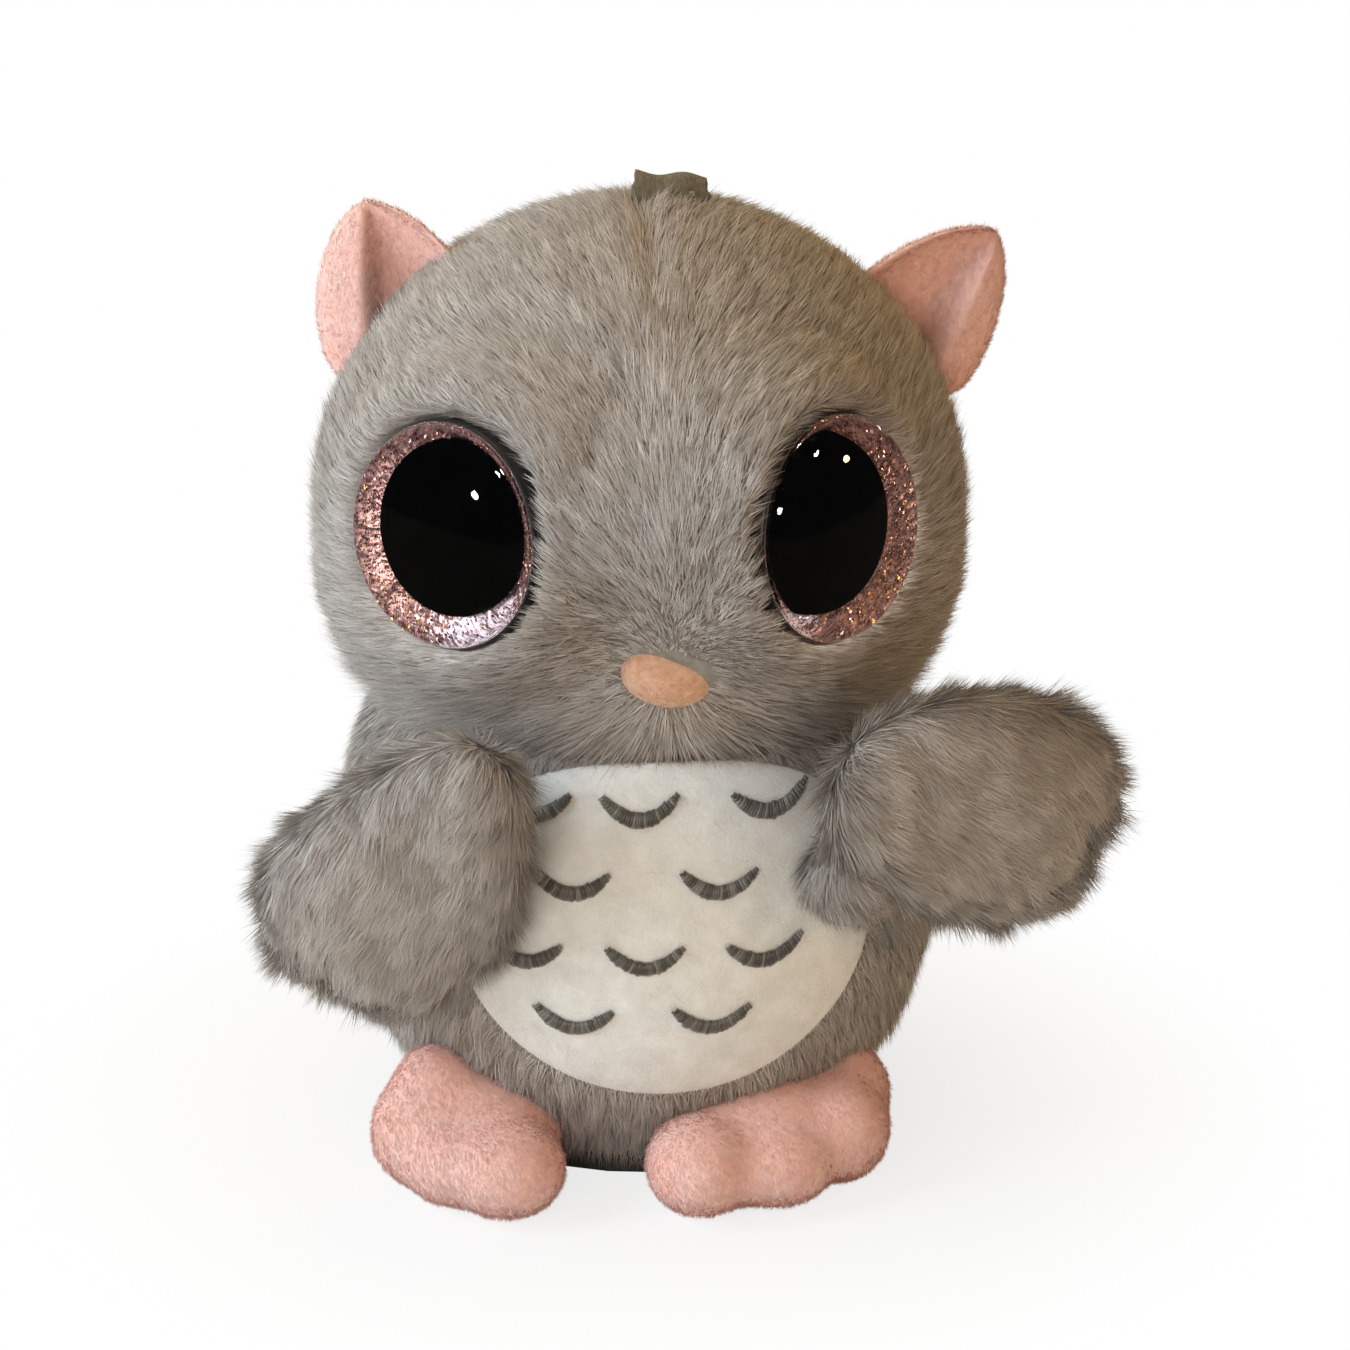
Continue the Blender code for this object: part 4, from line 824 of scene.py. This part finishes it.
def make_ear(side):
    """A leaf of plush folded forwards along its outer edge, so that its front is a cup."""
    name = "ear_left" if side > 0 else "ear_right"
    lean, middle, power = EARS[side]
    turn = Euler((0, math.radians(lean * side), 0)).to_matrix()
    turn = np.array(Euler((0, 0, math.radians(12 * side))).to_matrix() @ turn)
    ball, faces = sphere_points(5)
    x, y, z = ball[:, 0] * side, ball[:, 1], ball[:, 2]
    ring = np.maximum(np.hypot(x, y), 1e-6)
    # a rounded triangle, wide where it meets the head
    wide = EAR_WIDE * np.maximum(1 - np.abs(z) ** power, 0) ** 0.62
    deep = EAR_DEEP * np.maximum(1 - z * z, 0) ** 0.5
    outer = x / ring
    px = wide * outer
    pz = np.where(z > 0, EAR_UP * z, EAR_DOWN * z)
    front = smooth_step(0.05, -0.6, y / ring)
    band = smooth_step(0.18, 0.42, outer + 0.25 * z)
    hollow = (1 - band) * (1 - np.maximum(z, 0) ** 3) * (1 - np.clip(-outer, 0, 1) ** 4)
    py = deep * y / ring + front * (4.6 * hollow - 1.2 * band * (1 - z * z))
    py = py - 2.0 * np.clip(-outer, 0, 1) ** 2
    local = np.stack([px * side, py, pz], 1)
    points = from_head((local @ turn.T + np.array(middle)) * MM)
    skin = mesh_from(name + "_skin", points, faces, [pink_skin])
    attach(skin, "head")
    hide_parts(name)

    def tone(p):
        q = (in_head(p) / MM - np.array(middle)) @ turn
        # the hollow's hairs take the darker, more orange tones: partly painted shade of the hollow, partly
        # its own more orange pile
        cup = (q[:, 0] * side < 3.5) & (q[:, 0] * side > -11) & (q[:, 1] > -1.5) & (q[:, 1] < 2.6)
        return np.where(cup, -0.4, 0.0)

    grow_fur(name + "_pile", skin, "head", 26000, 1.2 * MM, 0.16 * MM,
             leaning(0.0, 0.0, 1.0), lift=0.6, tuft=0.001, gather=0.2, seed=31 + side,
             materials=pink_hairs, stray=0.5, tone=tone, tones=(0.3, 1.0), soft=0.9)


PIN_HOLE = (18, 3, 2)    # the ribbon grid's column and row where it starts, and its size


def grid_edge(left, low, wide, tall):
    """The grid corners round a rectangle, as (column, row)."""
    edge = [(left + i, low) for i in range(wide)] + [(left + wide, low + j) for j in range(tall)]
    edge += [(left + i, low + tall) for i in range(wide, 0, -1)]
    return edge + [(left, low + j) for j in range(tall, 0, -1)]


def make_loop():
    """The cut ribbon stub on the crown: a folded strip with a pin hole near one end."""
    bottom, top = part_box("hanging_loop")
    middle = (bottom + top) / 2
    across, tall, thick = 6.2 * MM, (top.z - bottom.z) / 2 + 0.4 * MM, 0.9 * MM
    middle.z -= 1.8 * MM
    steps, rows = 26, 9
    points, faces = [], []
    for face in (1, -1):
        for j in range(rows):
            for i in range(steps):
                u, v = i / (steps - 1) * 2 - 1, j / (rows - 1) * 2 - 1
                trim = 1 - 0.12 * max(0.0, v) + 0.03 * math.sin(9 * v)
                rise = tall * (v + 0.10 * math.sin(u * 4.1) * (v > 0.2) - 0.12 * u * (v > 0))
                bulge = thick * (1.0 - 0.75 * abs(v) ** 3) * (1 + 0.25 * math.sin(u * 5))
                points.append((middle.x + across * u * trim, middle.y + face * bulge * math.cos(u * 1.2),
                               middle.z + rise))
    half = steps * rows
    left, low, size = PIN_HOLE
    hole = {(left + i, low + j) for i in range(size) for j in range(size)}
    for j in range(rows - 1):
        for i in range(steps - 1):
            if (i, j) not in hole:
                a = j * steps + i
                faces.append((a, a + steps, a + steps + 1, a + 1))
                faces.append((half + a, half + a + 1, half + a + steps + 1, half + a + steps))
    for edge in (grid_edge(0, 0, steps - 1, rows - 1), grid_edge(left, low, size, size)):
        for (i, j), (k, m) in zip(edge, edge[1:] + edge[:1]):
            a, b = j * steps + i, m * steps + k
            faces.append((a, b, half + b, half + a))
    loop = mesh_from("hanging_ribbon", points, faces, [ribbon_khaki])
    turn_outwards(loop)
    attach(loop, "head")
    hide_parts("hanging_loop")


# ---- body
BODY_HEIGHTS = np.array((4.0, 8.0, 19.5, 33.0, 47.0, 60.5, 70.2, 73.5)) * MM
BODY_RADII = np.array((28.7, 35.6, 43.2, 47.1, 47.9, 46.6, 43.3, 39.2)) * MM


def body_radius(z):
    """The body's outer radius at a height, rounded between the CAD's rings."""
    z = np.asarray(z, float)
    straight = np.interp(z, BODY_HEIGHTS, BODY_RADII)
    below, above = (np.interp(z + step, BODY_HEIGHTS, BODY_RADII) for step in (-3 * MM, 3 * MM))
    return 0.5 * (straight + (below + above) / 2)


BELLY_MIDDLE = np.array((1.6, 46.6)) * MM
BELLY_WIDE = 32.5 * MM
BELLY_DOWN = 28.0 * MM
BELLY_UP = 25.9 * MM
BELLY_POWER = 2.7        # of its outline above its middle, below it is an ellipse


def belly_share(points):
    """1 at the belly panel's edge, less inside it, more outside."""
    x = np.abs(points[:, 0] - BELLY_MIDDLE[0]) / BELLY_WIDE
    z = points[:, 2] - BELLY_MIDDLE[1]
    up = (x ** BELLY_POWER + (np.maximum(z, 0) / BELLY_UP) ** BELLY_POWER) ** (1 / BELLY_POWER)
    away = np.where(z > 0, up, np.hypot(x, z / BELLY_DOWN))
    return np.where(points[:, 1] < 0, away, 9.0)


RIM_HEIGHTS = (72.2, 73.0, 73.4, 73.5, 73.2, 72.4, 71.2, 70.0, 68.8)
RIM_RADII = (41.5, 40.4, 39.4, 38.2, 36.2, 33.5, 30.0, 26.0, 21.0)
SIDE_RINGS = 70
SKIN_INSET = 0.4 * MM    # the fur's skin lies this far inside the body's radius


def make_body():
    heights = np.concatenate([np.linspace(3.6, 71.2, SIDE_RINGS), RIM_HEIGHTS]) * MM
    radii = body_radius(heights)
    radii[SIDE_RINGS:] = np.array(RIM_RADII) * MM
    steps = 160
    a = np.arange(steps) * 2 * math.pi / steps
    rings = []
    for h, r in zip(heights, radii):
        r = r - SKIN_INSET
        rings.append(np.stack([r * np.sin(a), -r * np.cos(a), np.full(steps, h)], 1))
    points = np.concatenate(rings)
    sunk = 1.0 * MM * smooth_step(1.02, 0.96, belly_share(points))
    inward = points * np.array((1, 1, 0))
    points = points - unit(inward) * sunk[:, None]
    faces = band_faces(len(heights), steps)
    skin = mesh_from("body_skin", points, faces, [grey_skin])
    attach(skin, "torso")
    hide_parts("body_plush")

    def comb(p):
        # the nap runs down, and sideways round the belly's edge
        around = np.stack([p[:, 0] - BELLY_MIDDLE[0], np.zeros(len(p)), p[:, 2] - BELLY_MIDDLE[1]], 1)
        around = around / (30 * MM)
        near = np.exp(-np.maximum(belly_share(p) - 1, 0) * 6)[:, None]
        down = np.tile((0.0, 0.0, -1.0), (len(p), 1))
        top = smooth_step(70 * MM, 74 * MM, p[:, 2])[:, None]
        outwards = unit(p * np.array((1, 1, 0)))
        return (down * (1 - 0.35 * near) + around * near * 0.35) * (1 - top) + outwards * top

    def keep(p):
        outside = np.hypot(p[:, 0], p[:, 1]) > 33 * MM
        return smooth_step(0.985, 1.015, belly_share(p)) * (outside | (p[:, 2] < 60 * MM))

    def lengths(p):
        edge = 0.6 + 0.4 * smooth_step(1.0, 1.15, belly_share(p))
        low = 0.75 + 0.25 * smooth_step(5 * MM, 16 * MM, p[:, 2])
        low = low + 0.7 * np.exp(-((p[:, 2] - 8.5 * MM) / (3 * MM)) ** 2)
        return edge * low * (1 - 0.25 * smooth_step(68 * MM, 73 * MM, p[:, 2]))

    def spare(roots, tips):
        # no hair of the lower fringe goes through the floor
        return tips[:, 2] < 0.1 * MM

    # the undercoat takes only the darker tones: painted shade down in the pile, under the longer coat
    grow_fur("body_undercoat", skin, "torso", 50000, 3.2 * MM, 0.42 * MM, comb, keep, lift=0.5,
             tuft=0.0022, gather=0.3, stray=0.35, seed=13, lengths=lengths, droop=0.2, tones=(0.0, 0.55),
             spare=spare)
    grow_fur("body_fur", skin, "torso", 150000, 5.0 * MM, 0.23 * MM, comb, keep, lift=0.45,
             tuft=0.0024, gather=0.55, stray=0.35, seed=14, lengths=lengths, droop=0.2, tones=(0.2, 0.95),
             spare=spare)


def belly_surface(x, z, out):
    r = body_radius(z) + out
    x = np.clip(x, -r * 0.98, r * 0.98)
    return np.stack([x, -np.sqrt(r * r - x * x), z], -1)


def belly_outline(a):
    """A point of the panel's edge, turned by an angle from straight up."""
    x, z = math.sin(a), math.cos(a)
    if z > 0:
        reach = (abs(x) ** BELLY_POWER + z ** BELLY_POWER) ** (-1 / BELLY_POWER)
        return BELLY_WIDE * x * reach, BELLY_UP * z * reach
    return BELLY_WIDE * x, BELLY_DOWN * z


def make_belly():
    rings, steps = 40, 144
    points = []
    faces = []
    for layer in (1, 0):
        for j in range(rings + 1):
            s = math.sin(math.pi / 2 * j / rings)
            for k in range(steps):
                a = 2 * math.pi * k / steps
                x, z = belly_outline(a)
                x, z = BELLY_MIDDLE[0] + x * s, BELLY_MIDDLE[1] + z * s
                puff = 1.1 * MM * (1 - s ** 6) ** 0.5
                puff += 0.045 * MM * math.sin(1120 * x) * math.sin(1115 * z)
                out = (0.1 * MM + puff) if layer else -1.0 * MM
                points.append(belly_surface(np.array(x), np.array(z), out))
    count = (rings + 1) * steps
    for j in range(rings):
        for k in range(steps):
            m = (k + 1) % steps
            one = (j * steps + k, (j + 1) * steps + k, (j + 1) * steps + m, j * steps + m)
            faces.append(one if j else (k, steps + k, steps + m))
            two = tuple(count + i for i in reversed(one))
            faces.append(two if j else (count + steps + m, count + steps + k, count + k))
    for k in range(steps):
        m = (k + 1) % steps
        a, b = rings * steps + k, rings * steps + m
        faces.append((a, count + a, count + b, b))
    skin = mesh_from("belly_skin", points, faces, [cream_skin])
    turn_outwards(skin, merge=0.01 * MM)
    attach(skin, "torso")
    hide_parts("belly_panel")
    grow_fur("belly_pile", skin, "torso", 26000, 0.9 * MM, 0.12 * MM,
             leaning(0.15, 0.0, -1.0), keep=lambda p: p[:, 1] < 0, lift=1.1,
             tuft=0.0011, gather=0.25, seed=41, materials=cream_hairs, stray=0.5, soft=0.8)


# rows of stitched feathers from the top: each row's height, and where its feathers are from side to side
STITCH_ROWS = (
    (66.4, (-18.8, -2.4, 17.7)), (55.0, (-13.1, 9.5)), (43.3, (-20.5, -1.9, 16.7)), (32.8, (-12.8, 8.4)),
)
FEATHER_THREADS = 30
FEATHER_WIDE = 5.9               # half the width of its arc
FEATHER_RISE = 3.4               # from the arc's middle up to its ends
FEATHER_THICK = 1.05             # half its thickness in the middle
THREAD_HALF = 0.21
THREAD_MIX = (0.4, 0.38, 0.22)   # how many have each tone


def feather_thread(s, rng):
    """One thread at s (-1 to 1) along a feather's smile: its tone, and points as (along, up, out) in mm."""
    slope = math.atan2(2 * FEATHER_RISE * s, FEATHER_WIDE)
    dx, dz = math.cos(slope), math.sin(slope)
    thick = FEATHER_THICK * math.sqrt(max(0.12, 1 - abs(s) ** 2.6)) + 0.06 * rng.normal()
    kind = rng.choice(3, p=THREAD_MIX)
    jitter = rng.normal(0, 0.05)
    thread = []
    for v in np.linspace(-1, 1, 6):
        along = FEATHER_WIDE * s - dz * thick * v + 0.10 * v + jitter
        up = FEATHER_RISE * s * s + dx * thick * v - 1.2
        out = 1.35 + 0.55 * math.sqrt(max(0.0, 1 - v * v))
        for w in (-1, 0, 1):
            crown = -0.06 if w else 0.09
            thread.append((along + w * dx * THREAD_HALF, up + w * dz * THREAD_HALF, out + crown))
    return kind, thread


def make_stitches():
    """Satin stitch: each feather is a row of short shining threads laid side by side across an arc."""
    rng = np.random.default_rng(61)
    points, faces, kinds = [], [], []
    for height, row in STITCH_ROWS:
        for offset in row:
            lean = math.radians(rng.uniform(-4, 4))
            for k in range(FEATHER_THREADS):
                kind, thread = feather_thread((k + 0.5) / FEATHER_THREADS * 2 - 1, rng)
                for low in range(len(points), len(points) + len(thread) - 3, 3):
                    faces += [(low + w, low + w + 3, low + w + 4, low + w + 1) for w in (0, 1)]
                    kinds += [kind, kind]
                for along, up, out in thread:
                    across = offset + along * math.cos(lean) - up * math.sin(lean)
                    above = height + along * math.sin(lean) + up * math.cos(lean)
                    points.append(belly_surface(np.array(across * MM), np.array(above * MM), out * MM))
    stitches = mesh_from("belly_stitches", points, faces, threads, indices=kinds)
    thicken = stitches.modifiers.new("thread", "SOLIDIFY")
    thicken.thickness = 0.0004
    thicken.offset = 0
    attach(stitches, "torso")


# ---- feet
# the balls that each foot swells from: middle and size, in mm
FEET = {
    "foot_left": (((18.0, -32.5, 9.0), (16.0, 14.0, 9.0)), ((6.8, -45.0, 7.6), (8.8, 10.6, 7.8)),
                  ((18.5, -43.0, 7.0), (10.0, 9.0, 7.2)), ((29.5, -35.0, 9.0), (8.2, 10.0, 8.8)),
                  ((31.5, -28.0, 12.0), (7.0, 8.0, 8.0))),
    "foot_right": (((-28.0, -31.0, 9.4), (14.5, 13.0, 9.4)), ((-23.2, -44.0, 7.4), (9.4, 10.4, 7.6)),
                   ((-31.5, -40.0, 7.4), (8.4, 9.0, 7.4)), ((-36.5, -34.0, 9.6), (8.2, 9.2, 9.0)),
                   ((-33.5, -31.0, 15.0), (8.0, 7.5, 8.0))),
}
FOOT_FLAT = 0.6 * MM     # the height under which a foot is pressed flat


def make_foot(side):
    """A soft mitt with three lobes, made by swelling its balls into one skin."""
    name = "foot_left" if side > 0 else "foot_right"
    bm = bmesh.new()
    for at, size in FEET[name]:
        ball = bmesh.ops.create_icosphere(bm, subdivisions=4, radius=1.0)["verts"]
        bmesh.ops.scale(bm, vec=[s * MM for s in size], verts=ball)
        bmesh.ops.translate(bm, vec=Vector(at) * MM, verts=ball)
    mesh = bpy.data.meshes.new(name + "_skin")
    bm.to_mesh(mesh)
    bm.free()
    foot = bpy.data.objects.new(name + "_skin", mesh)
    bpy.context.scene.collection.objects.link(foot)
    remesh = foot.modifiers.new("join", "REMESH")
    remesh.mode, remesh.voxel_size = "VOXEL", 0.0008
    soft = foot.modifiers.new("soft", "SMOOTH")
    soft.factor, soft.iterations = 0.5, 70
    apply_modifiers(foot)
    co = read_array(foot.data.vertices, "co")
    # flat where it rests
    co[:, 2] = np.where(co[:, 2] < FOOT_FLAT, FOOT_FLAT - (FOOT_FLAT - co[:, 2]) * 0.08, co[:, 2])
    co[:, 2] = np.maximum(co[:, 2], 0.15 * MM)
    foot.data.vertices.foreach_set("co", co.ravel())
    foot.data.materials.clear()
    foot.data.materials.append(pink_skin)
    foot.data.shade_smooth()
    foot.data.update()
    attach(foot, "torso")
    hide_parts(name)
    grow_fur(name + "_pile", foot, "torso", 42000, 1.2 * MM, 0.16 * MM,
             leaning(0.0, -1.0, -0.5), lift=0.8, tuft=0.0012, gather=0.25, seed=71 + side,
             materials=pink_hairs, stray=0.5, tones=(0.3, 1.0), soft=0.75,
             keep=lambda p: (p[:, 2] > 1.2 * MM) * smooth_step(-18 * MM, -24 * MM, p[:, 1]))


def apply_modifiers(thing):
    graph = bpy.context.evaluated_depsgraph_get()
    made = bpy.data.meshes.new_from_object(thing.evaluated_get(graph))
    thing.modifiers.clear()
    thing.data = made


# ---- wings
WING_SIDE = {"wing_left": 1, "wing_right": -1}
WING_ROOT = {"wing_left": (24.0, 0.16), "wing_right": (29.0, 0.34)}    # its reach, and how much it narrows
WING_SQUARE = 2.35       # of its outline, where 2 is an ellipse
ROOT_SEMI = (5.6, 8.0, 5.6)


def wing_frame(name):
    """A wing's middle, and its directions along, across and out of it as rows."""
    side = WING_SIDE[name]
    lean, drop = math.radians(WING_TILT), math.radians(WING_SLOPE[name])
    along = Vector((math.cos(lean) * side, math.sin(lean), 0))
    out = Vector((math.sin(lean) * side, -math.cos(lean), 0))
    swing = Matrix.Rotation(drop * side, 3, "Y")
    along, out = swing @ along, swing @ out
    across = out.cross(along)
    return box_middle(name + "_plush"), np.array((along, across, out))


def make_wing(name):
    side = WING_SIDE[name]
    middle, axes = wing_frame(name)
    up = 1.0 if axes[1][2] > 0 else -1.0
    ball, faces = sphere_points(5)
    u, v, w = ball[:, 0], ball[:, 1] * up, ball[:, 2]
    square = (np.abs(u) ** WING_SQUARE + np.abs(v) ** WING_SQUARE) ** (1 / WING_SQUARE)
    square = np.where(square > 1e-6, np.hypot(u, v) / np.maximum(square, 1e-6), 1)
    half_long, half_wide, half_thick = WING_SEMI
    root, taper = WING_ROOT[name]
    # a mitten: its root narrows, its outer end is broad and its lower edge fuller
    wide = 1 - taper * smooth_step(0.2, -1.0, u) + 0.05 * smooth_step(-0.2, 0.8, u)
    pu = np.where(u < 0, root, half_long) * u * square
    pv = half_wide * v * square * wide
    pw = half_thick * w * (1 + 0.12 * u) + 0.6 * np.sin(u * 5 + v * 3) * (w > 0)
    local = np.stack([pu, pv * up, pw], 1) * MM
    points = local @ axes + middle
    skin = mesh_from(name + "_skin", points, faces, [grey_skin])
    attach(skin, name)
    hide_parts(name + "_plush")

    def comb(p):
        q = (p - middle) @ axes.T / MM
        spread = np.clip(q[:, 1] / half_wide, -1, 1) * smooth_step(-26, -8, q[:, 0]) * 0.55
        # a share towards the front keeps the whorl at the root on the wing's hidden side
        return axes[0] + 1.5 * axes[2] + spread[:, None] * axes[1] + np.array((0, 0, -0.35))

    # the undercoat takes the darker tones: painted shade down in the pile, under the longer coat
    grow_fur(name + "_undercoat", skin, name, 30000, 4.4 * MM, 0.44 * MM, comb, lift=0.5,
             tuft=0.0028, gather=0.25, stray=0.4, seed=85 + side, droop=0.3, tones=(0.1, 0.7))
    grow_fur(name + "_fur", skin, name, 72000, 6.6 * MM, 0.24 * MM, comb, lift=0.45,
             tuft=0.0034, gather=0.5, stray=0.4, seed=81 + side, droop=0.3, curl=0.4, tones=(0.3, 1.0))


def make_wing_root(name):
    """The furry shoulder round the wing's shaft, as round as the shaft so that it can turn with it."""
    joint = next(j for j in frame["record"]["behaviour"]["joints"] if j["child"] == name)
    middle = np.array((joint["pos_m"][0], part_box(name + "_shaft")[0].y + 2.5 * MM, joint["pos_m"][2]))
    ball, faces = sphere_points(4)
    points = ball * np.array(ROOT_SEMI) * MM + middle
    skin = mesh_from(name + "_root_skin", points, faces, [grey_skin])
    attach(skin, name)
    grow_fur(name + "_root_fur", skin, name, 9000, 5.6 * MM, 0.26 * MM,
             leaning(np.sign(middle[0]) * 0.6, -0.7, -0.8), lift=0.35, tuft=0.003, gather=0.5, stray=0.4,
             seed=91, droop=0.3, tones=(0.2, 0.95))


# ---- what shows of the mechanism
def dress_cad():
    """Every CAD node that stays gets a patterned material of its own kind."""
    looks = {
        "case_plastic": patterned("case_plastic_grained", (0.035, 0.034, 0.033), (0.05, 0.048, 0.046), 0.0012,
                                  0.5, bump=0.12, bump_size=0.0003),
        "nylon": patterned("nylon_moulded", (0.70, 0.68, 0.62), (0.78, 0.76, 0.71), 0.004, 0.45, bump=0.04),
        "steel": patterned("steel_turned", (0.50, 0.50, 0.51), (0.62, 0.62, 0.63), 0.0008, 0.32, 1.0,
                           bump=0.05),
        "stuffing": patterned("stuffing_fibre", (0.72, 0.71, 0.69), (0.86, 0.85, 0.83), 0.002, 0.95,
                              bump=0.5),
        "circuit_board": patterned("circuit_board_lacquer", (0.015, 0.11, 0.045), (0.03, 0.17, 0.075), 0.0015,
                                   0.35, bump=0.06),
        "battery_jacket": patterned("battery_jacket_film", (0.03, 0.09, 0.20), (0.05, 0.13, 0.27), 0.006, 0.3,
                                    bump=0.03),
        "black_plastic": cup_black,
        "eye_black": eye_black,
    }
    slots = {part["node"]: part["material_slot"] for part in frame["record"]["subparts"]}
    for name, node in nodes.items():
        if node.hide_render:
            continue
        node.data.materials.clear()
        node.data.materials.append(looks[slots[name]])


make_camera()
make_head()
for side in (1, -1):
    make_eye(side)
    make_ear(side)
    make_foot(side)
make_nose()
make_loop()
make_body()
make_belly()
make_stitches()
for wing in ("wing_left", "wing_right"):
    make_wing(wing)
    make_wing_root(wing)
dress_cad()
make_studio()
